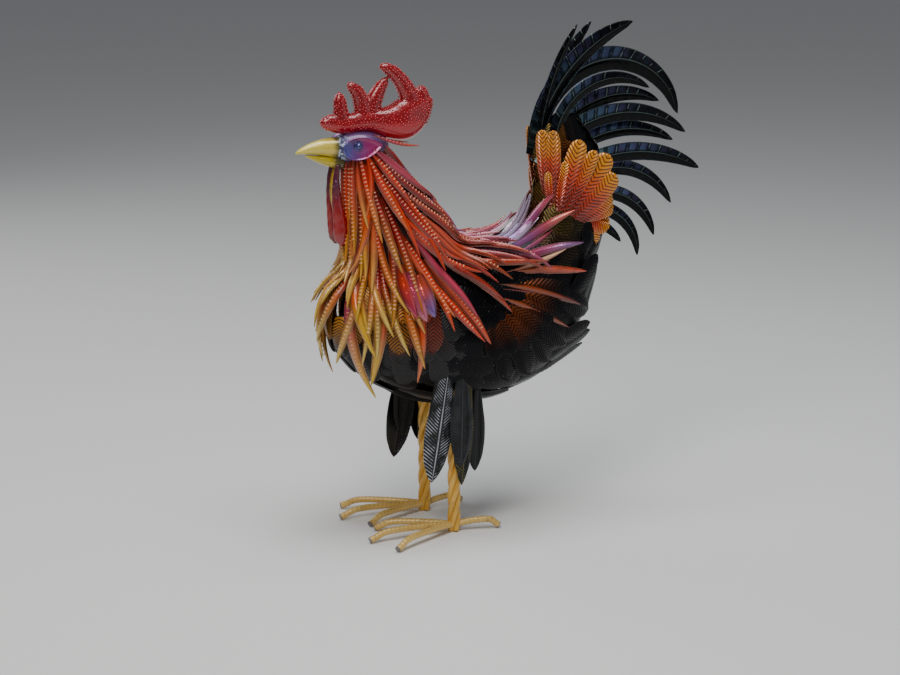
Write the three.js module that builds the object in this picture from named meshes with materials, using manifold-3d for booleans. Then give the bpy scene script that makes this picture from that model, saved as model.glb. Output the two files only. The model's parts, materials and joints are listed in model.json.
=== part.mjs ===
// A garden rooster welded from painted sheet steel and reinforcing bar.
// The bird faces -X with its left side towards -Y. Lengths are in millimetres. +Z is up and the feet stand
// on z = 0.
// Its hollow sheet body carries stamped leaf plates. Strips cut from sheet lie over the neck and the back.

import * as THREE from "three";
import { mergeVertices } from "three/addons/utils/BufferGeometryUtils.js";
import Module from "manifold-3d";

const wasm = await Module();
wasm.setup();

// Driving dimensions
const LEGS_AHEAD = 79; // the legs stand this far in front of the middle of the bird's length
const LEG_APART = 43; // from the middle plane to a leg
const WELD_GAP = 0.3; // between pieces that touch
const CREASE = 2.2; // height of the crease of a plate or strip over its edges
const EYE_PLATE_THICK = 1.6;

// Each row of a spine: x, z, radius in the middle plane, radius to the side.
const BODY_SPINE = [
  [-104, 262, 6, 5],
  [-88, 258, 44, 34],
  [-52, 248, 73, 55],
  [-8, 240, 86, 66],
  [38, 237, 88, 69],
  [84, 247, 80, 64],
  [119, 274, 64, 52],
  [143, 311, 48, 39],
  [159, 352, 40, 28],
  [165, 394, 36, 19],
  [160, 430, 30, 12],
  [155, 446, 12, 5],
];
const NECK_SPINE = [
  [-92, 446, 19, 16],
  [-84, 420, 25, 22],
  [-72, 388, 32, 28],
  [-58, 350, 43, 36],
  [-44, 308, 56, 46],
  [-34, 270, 62, 52],
];

// Small vector tools
const vec = (x, y, z) => new THREE.Vector3(x, y, z);
const radians = THREE.MathUtils.degToRad;
const mix = (a, b, t) => a + (b - a) * t;

// A repeatable number from 0 to 1 for the small unevenness of hand work.
function chance(seed, salt) {
  const s = Math.sin(seed * 12.9898 + salt * 78.233) * 43758.5453;
  return s - Math.floor(s);
}
const uneven = (seed, salt, size) => (chance(seed, salt) * 2 - 1) * size;

// A smooth row of numbers at t from 0 to 1 along a list of rows.
function smoothRow(rows, t) {
  const last = rows.length - 1;
  const place = Math.min(Math.max(t, 0), 1) * last;
  const i = Math.min(Math.floor(place), last - 1);
  const f = place - i;
  const p0 = rows[Math.max(i - 1, 0)];
  const p1 = rows[i];
  const p2 = rows[i + 1];
  const p3 = rows[Math.min(i + 2, last)];
  return p1.map((v, k) => {
    const slope = p2[k] - p0[k];
    const square = 2 * p0[k] - 5 * v + 4 * p2[k] - p3[k];
    const cube = 3 * v - p0[k] - 3 * p2[k] + p3[k];
    return v + 0.5 * f * (slope + f * (square + f * cube));
  });
}

// A spine sampled into stations: centre, direction along it and the normal in the middle plane.
function stations(spine, count) {
  return Array.from({ length: count + 1 }, (_, i) => {
    const t = i / count;
    const [x, z, tall, wide] = smoothRow(spine, t);
    const a = smoothRow(spine, t - 0.01);
    const b = smoothRow(spine, t + 0.01);
    const along = vec(b[0] - a[0], 0, b[1] - a[1]).normalize();
    return { at: vec(x, 0, z), along, up: vec(-along.z, 0, along.x), tall, wide };
  });
}

// Solids
function solid(geometry) {
  const bare = geometry.index ? geometry.toNonIndexed() : geometry.clone();
  bare.deleteAttribute("normal");
  bare.deleteAttribute("uv");
  const merged = mergeVertices(bare, 1e-4);
  return new wasm.Manifold(
    new wasm.Mesh({
      numProp: 3,
      vertProperties: new Float32Array(merged.attributes.position.array),
      triVerts: new Uint32Array(merged.index.array),
    }),
  );
}

// Closed rings of points become a solid. An end ring of one point is a tip.
function skin(rings, closed = false) {
  const positions = [];
  const quad = (a, b, c, d) => positions.push(a, b, c, a, c, d);
  const count = Math.max(...rings.map((ring) => ring.length));
  const at = (ring, k) => ring[ring.length === 1 ? 0 : k % count];
  const last = closed ? rings.length : rings.length - 1;
  for (let i = 0; i < last; i += 1) {
    const near = rings[i];
    const far = rings[(i + 1) % rings.length];
    for (let k = 0; k < count; k += 1) {
      if (near.length === 1) positions.push(near[0], at(far, k + 1), at(far, k));
      else if (far.length === 1) positions.push(at(near, k), at(near, k + 1), far[0]);
      else quad(at(near, k), at(near, k + 1), at(far, k + 1), at(far, k));
    }
  }
  if (!closed) {
    const start = rings[0];
    const end = rings[rings.length - 1];
    for (let k = 1; k + 1 < count; k += 1) {
      if (start.length > 1) positions.push(start[0], start[k + 1], start[k]);
      if (end.length > 1) positions.push(end[0], end[k], end[k + 1]);
    }
  }
  const geometry = new THREE.BufferGeometry().setFromPoints(positions);
  const made = solid(geometry);
  if (made.volume() > 0) return made;
  for (let i = 0; i < positions.length; i += 3)
    [positions[i + 1], positions[i + 2]] = [positions[i + 2], positions[i + 1]];
  return solid(new THREE.BufferGeometry().setFromPoints(positions));
}

function join(solids) {
  return solids.reduce((whole, piece) => whole.add(piece));
}

// The biggest piece of a solid that a cut may have parted.
function biggest(made) {
  return made.decompose().reduce((a, b) => (b.volume() > a.volume() ? b : a));
}

function oval(station, sides, swell, y = 0) {
  return Array.from({ length: sides }, (_, k) => {
    const a = (k / sides) * 2 * Math.PI;
    const p = station.at.clone().addScaledVector(station.up, Math.cos(a) * (station.tall + swell));
    p.y += y + Math.sin(a) * (station.wide + swell);
    return p;
  });
}

// A round body along a spine, moved sideways by y.
const hull = (spine, count, sides, swell = 0, y = 0) =>
  skin(stations(spine, count).map((s) => oval(s, sides, swell, y)));

function toMesh(name, made, material) {
  const out = made.getMesh();
  const points = new Float32Array(out.numVert * 3);
  for (let i = 0; i < out.numVert; i += 1)
    points.set(out.vertProperties.subarray(i * out.numProp, i * out.numProp + 3), i * 3);
  const geometry = new THREE.BufferGeometry()
    .setAttribute("position", new THREE.BufferAttribute(points, 3))
    .setIndex(new THREE.BufferAttribute(new Uint32Array(out.triVerts), 1));
  geometry.computeVertexNormals();
  const mesh = new THREE.Mesh(geometry, material);
  mesh.name = name;
  return mesh;
}

// Distance from the carrying shells, body and neck together, with a soft hollow where they meet.
const SHELL_BLEND = 14;
const bodyLine = stations(BODY_SPINE, 33);
const neckLine = stations(NECK_SPINE, 15);

function lineValue(p, line) {
  let least = Infinity;
  for (let i = 0; i + 1 < line.length; i += 1) {
    const a = line[i];
    const b = line[i + 1];
    const ex = b.at.x - a.at.x;
    const ez = b.at.z - a.at.z;
    const dx = p.x - a.at.x;
    const dz = p.z - a.at.z;
    const u = Math.min(Math.max((dx * ex + dz * ez) / (ex * ex + ez * ez), 0), 1);
    const tall = mix(a.tall, b.tall, u);
    const side = (p.y * tall) / mix(a.wide, b.wide, u);
    least = Math.min(least, Math.hypot(dx - u * ex, dz - u * ez, side) - tall);
  }
  return least;
}

function shellValue(p) {
  const a = lineValue(p, bodyLine);
  const b = lineValue(p, neckLine);
  const h = Math.max(SHELL_BLEND - Math.abs(a - b), 0) / SHELL_BLEND;
  return Math.min(a, b) - (h * h * SHELL_BLEND) / 4;
}

function shellNormal(p) {
  const e = 0.5;
  const slope = vec(
    shellValue(vec(p.x + e, p.y, p.z)) - shellValue(vec(p.x - e, p.y, p.z)),
    shellValue(vec(p.x, p.y + e, p.z)) - shellValue(vec(p.x, p.y - e, p.z)),
    shellValue(vec(p.x, p.y, p.z + e)) - shellValue(vec(p.x, p.y, p.z - e)),
  ).divideScalar(2 * e);
  const steepness = slope.length();
  return { normal: slope.divideScalar(steepness), height: shellValue(p) / steepness };
}

function settle(p, height) {
  for (let i = 0; i < 4; i += 1) {
    const s = shellNormal(p);
    p.addScaledVector(s.normal, height - s.height);
  }
  return shellNormal(p).normal;
}

// The point at a height over the shells, straight out from a point inside them.
function overShell(inside, out, height) {
  let low = 0;
  let high = 160;
  for (let i = 0; i < 24; i += 1) {
    const middle = (low + high) / 2;
    if (shellValue(inside.clone().addScaledVector(out, middle)) > 0) high = middle;
    else low = middle;
  }
  const p = inside.clone().addScaledVector(out, high);
  settle(p, height);
  return p;
}

// The same at a turn round a spine: 0 is the back, 90 the left side and 180 the front or the belly.
function overSpine(spine, t, turn, height) {
  const [station] = stations([smoothRow(spine, t - 0.001), smoothRow(spine, t + 0.001)], 1);
  const out = station.up.clone().multiplyScalar(Math.cos(radians(turn)));
  out.y = -Math.sin(radians(turn));
  return overShell(station.at, out, height);
}

// Feathers. A frame is a place on a feather's crease: point, direction along it and outward normal.
const SUBSTEPS = 4;

// Lays a strip over the shells from root, always turned towards heading, at lift(share) over them.
// From the share free onwards it runs straight on.
function lay(root, heading, length, segments, lift, free = 1) {
  const frames = [];
  const p = root.clone();
  const steps = segments * SUBSTEPS;
  let normal = settle(p, lift(0));
  let along = heading.clone();
  for (let i = 0; i <= steps; i += 1) {
    const held = i / steps < free;
    if (held) along = heading.clone().addScaledVector(normal, -heading.dot(normal)).normalize();
    if (i % SUBSTEPS === 0) frames.push({ at: p.clone(), out: normal.clone() });
    p.addScaledVector(along, length / steps);
    if (held) normal = settle(p, lift((i + 1) / steps));
  }
  return frames;
}

// A creased plate along frames, with sharp edges. width(share) gives its width, and 0 there is a tip.
const evenShares = (frames) => frames.map((_, i) => i / (frames.length - 1));
function plate(frames, width, shares = evenShares(frames), crease = CREASE) {
  const rings = frames.map((frame, i) => {
    const before = frames[Math.max(i - 1, 0)].at;
    const after = frames[Math.min(i + 1, frames.length - 1)].at;
    const along = after.clone().sub(before).normalize();
    const out = frame.out.clone().addScaledVector(along, -frame.out.dot(along)).normalize();
    const side = along.clone().cross(out);
    const half = width(shares[i]) / 2;
    if (half < 0.05) return [frame.at.clone().addScaledVector(out, crease * 0.4)];
    return [
      frame.at.clone().addScaledVector(side, -half),
      frame.at.clone().addScaledVector(side, half),
      frame.at.clone().addScaledVector(out, crease),
    ];
  });
  return skin(rings);
}

const stripWidth = (wide) => (t) => (t > 0.999 ? 0 : wide * (0.78 + 0.5 * t) * Math.sqrt(1 - t ** 3));
const leafShare = (t) => (0.62 + 0.9 * t * (1.15 - t)) * Math.sqrt(1 - t ** 4);
const leafWidth = (wide) => (t) => (t > 0.999 ? 0 : wide * leafShare(t));

const ROOT_LIFT = 1.4; // of a plate's root over the shell

// The weld bead that joins the roots of a row.
const BEAD_WIDTH = 7;
const BEAD_CREST = 1.9;
const bead = (roots) => plate(roots, () => BEAD_WIDTH, undefined, BEAD_CREST);

const count = (n, make) => Array.from({ length: n }, (_, i) => make(i, n > 1 ? i / (n - 1) : 0));
// A heading in the middle plane, in degrees above the way to the tail.
const rising = (angle) => vec(Math.cos(radians(angle)), 0, Math.sin(radians(angle)));

// Shells
const bodyShell = (swell = 0) => hull(BODY_SPINE, 12, 16, swell);
const HEAD = vec(-96, 0, 447);
const HEAD_SIZE = vec(34, 21, 19.5);
function headShell(swell = 0) {
  const ball = new THREE.SphereGeometry(1, 12, 8);
  ball.scale(HEAD_SIZE.x + swell, HEAD_SIZE.y + swell, HEAD_SIZE.z + swell);
  return solid(ball.translate(HEAD.x, HEAD.y, HEAD.z));
}
const bodyRoom = bodyShell(WELD_GAP);
const headRoom = headShell(WELD_GAP);
const neckTube = () => hull(NECK_SPINE, 5, 10).subtract(bodyRoom).subtract(headRoom);

// Neck hackles: rows of strips round the neck, laid like a cape from below upwards.
const HACKLE_ROWS = [
  { t: 0.74, strips: 12, length: 134, wide: 14 },
  { t: 0.54, strips: 11, length: 134, wide: 14 },
  { t: 0.35, strips: 9, length: 128, wide: 14 },
  { t: 0.17, strips: 8, length: 126, wide: 13 },
];
const HACKLE_FLARE = 0.136; // lift for each millimetre of strip

// A hackle hangs straight down at the throat and leans towards the tail at the nape.
function hackleHeading(turn, sway) {
  const lean = radians(70 * ((1 + Math.cos(radians(turn))) / 2) ** 1.3 + sway);
  return vec(Math.sin(lean), 0, -Math.cos(lean));
}

function hackleRow(row, number) {
  const strips = count(row.strips, (i) => {
    const seed = number * 40 + i;
    const turn = ((i + 0.5 * (number % 2)) / row.strips) * 360 + uneven(seed, 1, 4);
    const nape = (1 + Math.cos(radians(turn))) / 2;
    const length = row.length * (1 + uneven(seed, 2, 0.12));
    const curl = (uneven(seed, 4, 3) + 4) * (1 - nape);
    const root = overSpine(NECK_SPINE, row.t, turn, ROOT_LIFT);
    const lift = (t) => ROOT_LIFT + HACKLE_FLARE * length * t + curl * t ** 4;
    return plate(lay(root, hackleHeading(turn, uneven(seed, 3, 7)), length, 4, lift), stripWidth(row.wide));
  });
  return join([collar(row.t), ...strips]);
}

// The weld bead round the neck that carries a row of hackles.
const COLLAR_SIDES = 14;
const COLLAR_HALF = 0.02; // half its width, as a share of the neck
function collar(t) {
  const rings = count(COLLAR_SIDES, (k) => {
    const turn = (k / COLLAR_SIDES) * 360;
    return [
      overSpine(NECK_SPINE, t - COLLAR_HALF, turn, ROOT_LIFT),
      overSpine(NECK_SPINE, t, turn, ROOT_LIFT + CREASE),
      overSpine(NECK_SPINE, t + COLLAR_HALF, turn, ROOT_LIFT),
    ];
  });
  return skin(rings, true);
}

// A row of leaf plates over the shell, welded side by side along one seam. Each leaf has a root, a heading,
// a length, a width, the rise of its tip, the bow of that rise and the share from which it runs straight
// (free). A strip keeps nearly even width.
function leafRow(leaves, segments) {
  const roots = [];
  const plates = leaves.map((leaf) => {
    const lift = (t) => ROOT_LIFT + leaf.rise * t ** (leaf.bow ?? 1);
    const frames = lay(leaf.root, leaf.heading, leaf.length, segments, lift, leaf.free);
    roots.push(frames[0]);
    return plate(frames, leaf.strip ? stripWidth(leaf.wide) : leafWidth(leaf.wide));
  });
  return join([bead(roots), ...plates]);
}

// Breast: one row of hanging plates round the front, half hidden by the cape.
const BREAST_MIDDLE = vec(-38, 0, 257);
function breastPlates() {
  return leafRow(
    count(10, (i, share) => {
      const turn = radians(mix(-106, 106, share));
      const out = vec(-Math.cos(turn), Math.sin(turn), 0.05);
      return {
        root: overShell(BREAST_MIDDLE, out, ROOT_LIFT),
        heading: vec(0, 0, -1),
        length: 72 + uneven(i, 21, 5),
        wide: 27,
        rise: i % 2 ? 5.6 : 2.6,
      };
    }),
    3,
  );
}

// Wing: a fan of long plates that starts at the shoulder.
function wing(side) {
  return leafRow(
    count(6, (i, share) => ({
      root: overSpine(BODY_SPINE, mix(0.37, 0.49, share), side * mix(80, 60, share), ROOT_LIFT),
      heading: rising(mix(-74, -20, share) + uneven(i, 23, 3)),
      length: mix(78, 108, share),
      wide: 26,
      rise: i % 2 ? 9.6 : 7.2,
    })),
    3,
  );
}

// Flanks: rows under and beside the rump whose tips stand out behind the body.
const FLANK_ROWS = [
  { t: 0.43, from: 128, plates: 5, length: 80, rise: 4.6, free: 0.6 },
  { t: 0.53, from: 118, plates: 6, length: 66, rise: 4.6, free: 0.7 },
  { t: 0.62, from: 140, plates: 4, length: 52, rise: 3, free: 1 },
];
function flankRow(row) {
  const [station] = stations([smoothRow(BODY_SPINE, row.t - 0.01), smoothRow(BODY_SPINE, row.t + 0.01)], 1);
  return leafRow(
    count(row.plates, (i, share) => ({
      root: overSpine(BODY_SPINE, row.t, mix(row.from, 360 - row.from, share), ROOT_LIFT),
      heading: station.along,
      length: row.length + uneven(i, row.from, 5),
      wide: 27,
      rise: row.rise,
      free: row.free,
    })),
    3,
  );
}

// Tail coverts: an orange fan on each side of the tail base. For each leaf: x and z inside the base from
// which its root lies straight out, the turn of that way from side to front, heading, length and width.
const COVERTS = [
  [160, 372, 62, 94, 84, 20],
  [152, 368, 38, 90, 88, 18],
  [140, 356, 0, 75, 91, 23],
  [143, 354, 0, 64, 86, 18],
  [146, 352, 0, 54, 91, 26],
  [151, 349, 0, 44, 77, 27],
  [155, 347, 0, 34, 58, 25],
  [170, 372, 0, -70, 42, 26],
];
const COVERT_TILT = 0.06; // a covert's way outwards for each millimetre of length
const COVERT_SHARES = [0, 0.36, 0.74, 0.95, 1];
function coverts(side) {
  const roots = [];
  const plates = COVERTS.map(([x, z, turn, heading, length, wide], i) => {
    const face = vec(-Math.sin(radians(turn)), side * Math.cos(radians(turn)), 0);
    const root = overShell(vec(x, 0, z), face, ROOT_LIFT);
    const out = shellNormal(root).normal;
    roots.push({ at: root, out });
    const way = rising(heading).addScaledVector(face, COVERT_TILT + (i % 2) * 0.04);
    const at = (share) => root.clone().addScaledVector(way, length * share);
    return plate(COVERT_SHARES.map((share) => ({ at: at(share), out })), leafWidth(wide), COVERT_SHARES);
  });
  return join([bead(roots), ...plates]).subtract(bodyRoom);
}

// Saddle: thin strips that run from the back over the wing and towards the tail.
function saddle(side) {
  return leafRow(
    count(6, (i, share) => ({
      root: overSpine(BODY_SPINE, mix(0.44, 0.37, share), side * mix(12, 56, share), ROOT_LIFT),
      heading: rising(mix(46, -24, share) + uneven(i, 41, 6)),
      length: mix(102, 112, share) + uneven(i, 42, 6),
      wide: 10,
      strip: true,
      rise: 10,
      bow: 0.8,
    })),
    4,
  );
}

// Tail sickles: x and z where each leaves the tail base, heading there, bend along it, length, width
// and sideways place.
const SICKLES = [
  [125, 466, 82, 24, 118, 10, -9],
  [128, 462, 68, 22, 136, 15, 9],
  [124, 460, 73, 57, 173, 22, -4],
  [129, 460, 76, 150, 252, 27, 5],
  [143, 455, 77, 112, 147, 16, -10],
  [146, 444, 51, 76, 165, 20, 10],
  [148, 439, 41, 79, 182, 21, -4],
  [175, 431, 31, 61, 141, 18, 5],
  [193, 418, 17, 48, 142, 20, -9],
  [195, 399, 19, 79, 137, 17, 9],
  [201, 379, 3, 80, 102, 16, -4],
  [200, 359, -2, 85, 99, 15, 5],
  [199, 344, -25, 33, 37, 11, -9],
];
const SICKLE_SEGMENTS = 6;
const SICKLE_ROOT = 34; // hidden length inside the tail base
const SICKLE_SPREAD = 1; // how far a tip moves outwards, as a multiple of the root's sideways place
const SICKLE_CREASE = 3;
function sickle([x, z, heading, bend, length, wide, side]) {
  const steps = SICKLE_SEGMENTS * SUBSTEPS;
  const out = vec(0, Math.sign(side), 0);
  const p = vec(x, side, z);
  const frames = [{ at: p.clone().addScaledVector(rising(heading + 4), -SICKLE_ROOT), out }];
  for (let i = 0; i <= steps; i += 1) {
    if (i % SUBSTEPS === 0) frames.push({ at: p.clone(), out });
    p.addScaledVector(rising(heading - (bend * (i + 0.5)) / steps), length / steps);
    p.y += (SICKLE_SPREAD * side) / steps;
  }
  const width = (t) => (t > 0.999 ? 0 : wide * Math.min(1, 0.6 + 1.1 * t) * Math.sqrt(1 - t ** 2.4));
  return biggest(plate(frames, width, undefined, SICKLE_CREASE).subtract(bodyRoom));
}

// Beak, parted along its middle: x, z and radii along each half.
const UPPER_BEAK = [
  [-120, 447.5, 12, 13],
  [-138, 449, 9.5, 10],
  [-153, 448.3, 6.2, 6.4],
  [-165, 446.2, 3.2, 3.4],
  [-171.5, 443.8, 0.9, 0.9],
];
const LOWER_BEAK = [
  [-119, 430.5, 8, 9.4],
  [-136, 434.2, 5.6, 7],
  [-151, 438.4, 3, 4.2],
  [-160, 441.2, 0.9, 1.1],
];
const upperBeak = (swell = 0) => hull(UPPER_BEAK, 5, 8, swell).subtract(headRoom);
const lowerBeak = () => hull(LOWER_BEAK, 4, 8).subtract(headRoom).subtract(upperBeak(WELD_GAP));

// Comb: a thick pressed crest with a knob in front, four fingers and a stub behind.
const COMB_BASE = [
  [-139, 481, 3, 2.5],
  [-134, 477, 8.5, 6.5],
  [-112, 473, 11, 9],
  [-86, 476, 13, 12],
  [-62, 473, 18, 14.5],
  [-44, 475, 23, 15.5],
  [-28, 484, 20, 13],
  [-15, 493, 10, 8],
  [-9, 497, 3, 3],
];
const COMB_FINGERS = [
  [
    [-117, 478, 9, 7.5],
    [-118, 491, 7.9, 6.6],
    [-119, 502, 6.2, 5.6],
    [-120, 509, 1.8, 1.8],
  ],
  [
    [-90, 481, 11, 9],
    [-93, 495, 9.4, 7.8],
    [-98, 508, 7.8, 6.6],
    [-106, 515, 5.2, 4.8],
    [-110, 515.5, 1.4, 1.4],
  ],
  [
    [-82, 484, 9, 8.5],
    [-78, 498, 9.2, 7.8],
    [-71, 511, 7.2, 6.2],
    [-65, 519, 4.6, 4.2],
    [-63, 523.5, 1.2, 1.2],
  ],
  [
    [-30, 484, 13, 10],
    [-36, 501, 11.2, 9],
    [-45, 517, 9, 7.4],
    [-56, 529, 7.2, 6.2],
    [-66, 534, 5, 4.6],
    [-71.5, 534, 1.4, 1.4],
  ],
  [
    [-20, 492, 10, 8],
    [-20, 502, 7.5, 6.4],
    [-22, 509, 4.8, 4.6],
    [-23, 512, 1.4, 1.4],
  ],
];
function comb() {
  const fingers = COMB_FINGERS.map((spine) => hull(spine, spine.length - 1, 6));
  return join([hull(COMB_BASE, 8, 7), ...fingers]).subtract(headRoom);
}

// Wattle: a long hammered drop under the beak.
const WATTLE_APART = 9;
const WATTLE = [
  [-125, 430, 2.8, 2.4],
  [-127.5, 414, 3.8, 2.6],
  [-127, 393, 5.6, 3.2],
  [-124, 372, 8, 4.2],
  [-122, 356, 9.2, 4.8],
  [-121.5, 345, 7.6, 4.2],
  [-122, 339, 2.2, 2],
];
const beakRoom = hull(LOWER_BEAK, 4, 8, WELD_GAP);
function wattle(side) {
  const drop = hull(WATTLE, 6, 6, 0, side * WATTLE_APART);
  return biggest(drop.subtract(headRoom).subtract(beakRoom));
}

// Eye plate: a flat almond on the side of the head, with a round stud for the eye.
const EYE_PLATE = vec(-101, 22, 449.5);
function eyePlate(side, swell = 0) {
  const outline = new THREE.Shape();
  outline.moveTo(-23, -1);
  outline.bezierCurveTo(-22, 14, 2, 17, 24, 2);
  outline.bezierCurveTo(10, -17, -20, -20, -23, -1);
  const depth = EYE_PLATE_THICK + 2 * swell;
  const flat = new THREE.ExtrudeGeometry(outline, { depth, bevelEnabled: false, curveSegments: 6 });
  flat.translate(0, 0, -swell).rotateX(Math.PI / 2);
  const outside = side > 0 ? EYE_PLATE_THICK : 0;
  return solid(flat.translate(EYE_PLATE.x, side * EYE_PLATE.y + outside, EYE_PLATE.z));
}
const EYE_RADIUS = 4.8;
function eye(side) {
  const ball = new THREE.SphereGeometry(EYE_RADIUS, 8, 5).rotateX(Math.PI / 2);
  ball.translate(EYE_PLATE.x - 5, side * (EYE_PLATE.y + EYE_PLATE_THICK), EYE_PLATE.z + 2);
  return biggest(solid(ball).subtract(eyePlate(side, WELD_GAP)).subtract(headRoom));
}

// Brow: a thin strip over the eye plate that stands out behind the head.
const BROW = [
  [-88, 24.5, 463],
  [-74, 24.5, 457],
  [-52, 19, 450],
  [-30, 16, 447],
];
const BROW_WIDTH = 4.6;
function brow(side) {
  const frames = BROW.map(([x, y, z]) => ({ at: vec(x, side * y, z), out: vec(0, side * 0.8, 0.6) }));
  return plate(frames, stripWidth(BROW_WIDTH)).subtract(headRoom);
}

// Legs: round bars twisted together, from the ground into the belly.
const LEG_RADIUS = 7.2;
const LEG_GROOVE = 1.3;
const LEG_TWIST_PITCH = 95;
const LEG_TOP = 182;
const LEG_STEPS = 13;
const LEG_POINTS = 6;
function leg(side) {
  const rings = count(LEG_STEPS + 1, (_, share) =>
    count(LEG_POINTS, (k) => {
      const turn = (k / LEG_POINTS + (share * LEG_TOP) / LEG_TWIST_PITCH) * 2 * Math.PI;
      const r = LEG_RADIUS - (k % 2) * LEG_GROOVE;
      return vec(r * Math.cos(turn), side * LEG_APART + r * Math.sin(turn), share * LEG_TOP);
    }),
  );
  return biggest(skin(rings).subtract(bodyRoom));
}

// Toes: lengths of ribbed bar, cut off square and bent down to the ground.
const BAR_RADIUS = 4;
const BAR_SIDES = 6;
const TOES = [
  { name: "middle", turn: 182, length: 108 },
  { name: "inner", turn: 157, length: 93 },
  { name: "outer", turn: 207, length: 102 },
  { name: "back", turn: -12, length: 54 },
];
const TOE_START = LEG_RADIUS + 0.5;
function toeBar(side, { turn, length }, swell = 0) {
  const angle = radians(turn);
  const way = vec(Math.cos(angle), -side * Math.sin(angle), 0);
  const foot = vec(0, side * LEG_APART, 0);
  const at = (share, z) => foot.clone().addScaledVector(way, mix(TOE_START, length, share)).setZ(z);
  const path = new THREE.CatmullRomCurve3([at(0, 8.5), at(0.3, 11), at(0.75, 11.5), at(0.92, 6), at(1, 1)]);
  const section = new THREE.Shape(
    count(BAR_SIDES, (k) => {
      const a = (k / BAR_SIDES) * 2 * Math.PI;
      return new THREE.Vector2((BAR_RADIUS + swell) * Math.cos(a), (BAR_RADIUS + swell) * Math.sin(a));
    }),
  );
  return solid(new THREE.ExtrudeGeometry(section, { steps: 5, extrudePath: path }));
}
const ground = solid(new THREE.BoxGeometry(400, 400, 40).translate(0, 0, -20));
function toe(side, spec) {
  const bar = toeBar(side, spec).subtract(ground);
  const meetsMiddle = spec.name === "inner" || spec.name === "outer";
  return meetsMiddle ? biggest(bar.subtract(toeBar(side, TOES[0], WELD_GAP))) : bar;
}

// Thigh plates: dark leaves that hang beside each leg. Root x and z, tip x and z, width.
const THIGH_PLATES = [
  [-14, 190, -34, 66, 34],
  [4, 188, 0, 82, 28],
  [12, 182, 4, 58, 22],
  [26, 172, 22, 72, 24],
];
function thighPlates(side) {
  const roots = [];
  const plates = THIGH_PLATES.map(([x, z, tipX, tipZ, wide], i) => {
    const root = overShell(vec(x, 0, z), vec(0, side, 0), ROOT_LIFT);
    const out = shellNormal(root).normal;
    const tip = vec(tipX, root.y + side * (i % 2 ? 5 : 1), tipZ);
    roots.push({ at: root.clone(), out });
    const frames = count(4, (_, share) => ({ at: root.clone().lerp(tip, share), out: vec(0, side, 0) }));
    return plate(frames, leafWidth(wide));
  });
  return join([bead(roots), ...plates]).subtract(bodyRoom);
}

// Paints
const paint = (color, roughness, metalness) =>
  new THREE.MeshStandardMaterial({ color, roughness, metalness });
const BLACK = paint(0x15161a, 0.35, 0.4);
const ORANGE = paint(0xc4481c, 0.35, 0.2);
const COVERT_ORANGE = paint(0xd66a14, 0.35, 0.2);
const SADDLE_PINK = paint(0xa8606a, 0.35, 0.3);
const COMB_RED = paint(0xa30d14, 0.3, 0.1);
const BEAK_YELLOW = paint(0xd9b52c, 0.3, 0.1);
const HEAD_PURPLE = paint(0x5b3c66, 0.4, 0.3);
const EYE_PURPLE = paint(0x8a2c62, 0.3, 0.3);
const EYE_DARK = paint(0x26294a, 0.15, 0.6);
const TAIL_BLUE = paint(0x1c2b3d, 0.3, 0.6);
const LEG_YELLOW = paint(0xd99a2e, 0.4, 0.1);
const TOE_CREAM = paint(0xc9a562, 0.5, 0.1);

const parts = [];
const add = (name, made, material) => parts.push([name, made, material]);

add("body_shell", bodyShell(), BLACK);
add("neck_tube", neckTube(), ORANGE);
add("head_shell", headShell(), HEAD_PURPLE);
add("upper_beak", upperBeak(), BEAK_YELLOW);
add("lower_beak", lowerBeak(), BEAK_YELLOW);
add("comb", comb(), COMB_RED);
HACKLE_ROWS.forEach((row, i) => add(`hackle_row_${i + 1}`, hackleRow(row, i + 1), ORANGE));
add("breast_plates", breastPlates(), ORANGE);
FLANK_ROWS.forEach((row, i) => add(`flank_row_${i + 1}`, flankRow(row), BLACK));
SICKLES.forEach((row, i) => add(`tail_sickle_${i + 1}`, sickle(row), TAIL_BLUE));

const SIDES = [
  ["left", -1],
  ["right", 1],
];
SIDES.forEach(([name, side]) => {
  add(`wing_${name}`, wing(-side), BLACK);
  add(`tail_coverts_${name}`, coverts(side), COVERT_ORANGE);
  add(`saddle_${name}`, saddle(-side), SADDLE_PINK);
  add(`wattle_${name}`, wattle(side), COMB_RED);
  add(`eye_plate_${name}`, eyePlate(side), EYE_PURPLE);
  add(`eye_${name}`, eye(side), EYE_DARK);
  add(`brow_${name}`, brow(side), ORANGE);
  add(`leg_${name}`, leg(side), LEG_YELLOW);
  add(`thigh_plates_${name}`, thighPlates(side), BLACK);
  TOES.forEach((spec) => add(`${spec.name}_toe_${name}`, toe(side, spec), TOE_CREAM));
});

const rooster = new THREE.Group();
rooster.position.x = -LEGS_AHEAD;
parts.forEach(([name, made, material]) => rooster.add(toMesh(name, made, material)));

export default rooster;
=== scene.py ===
import json
import math

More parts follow.
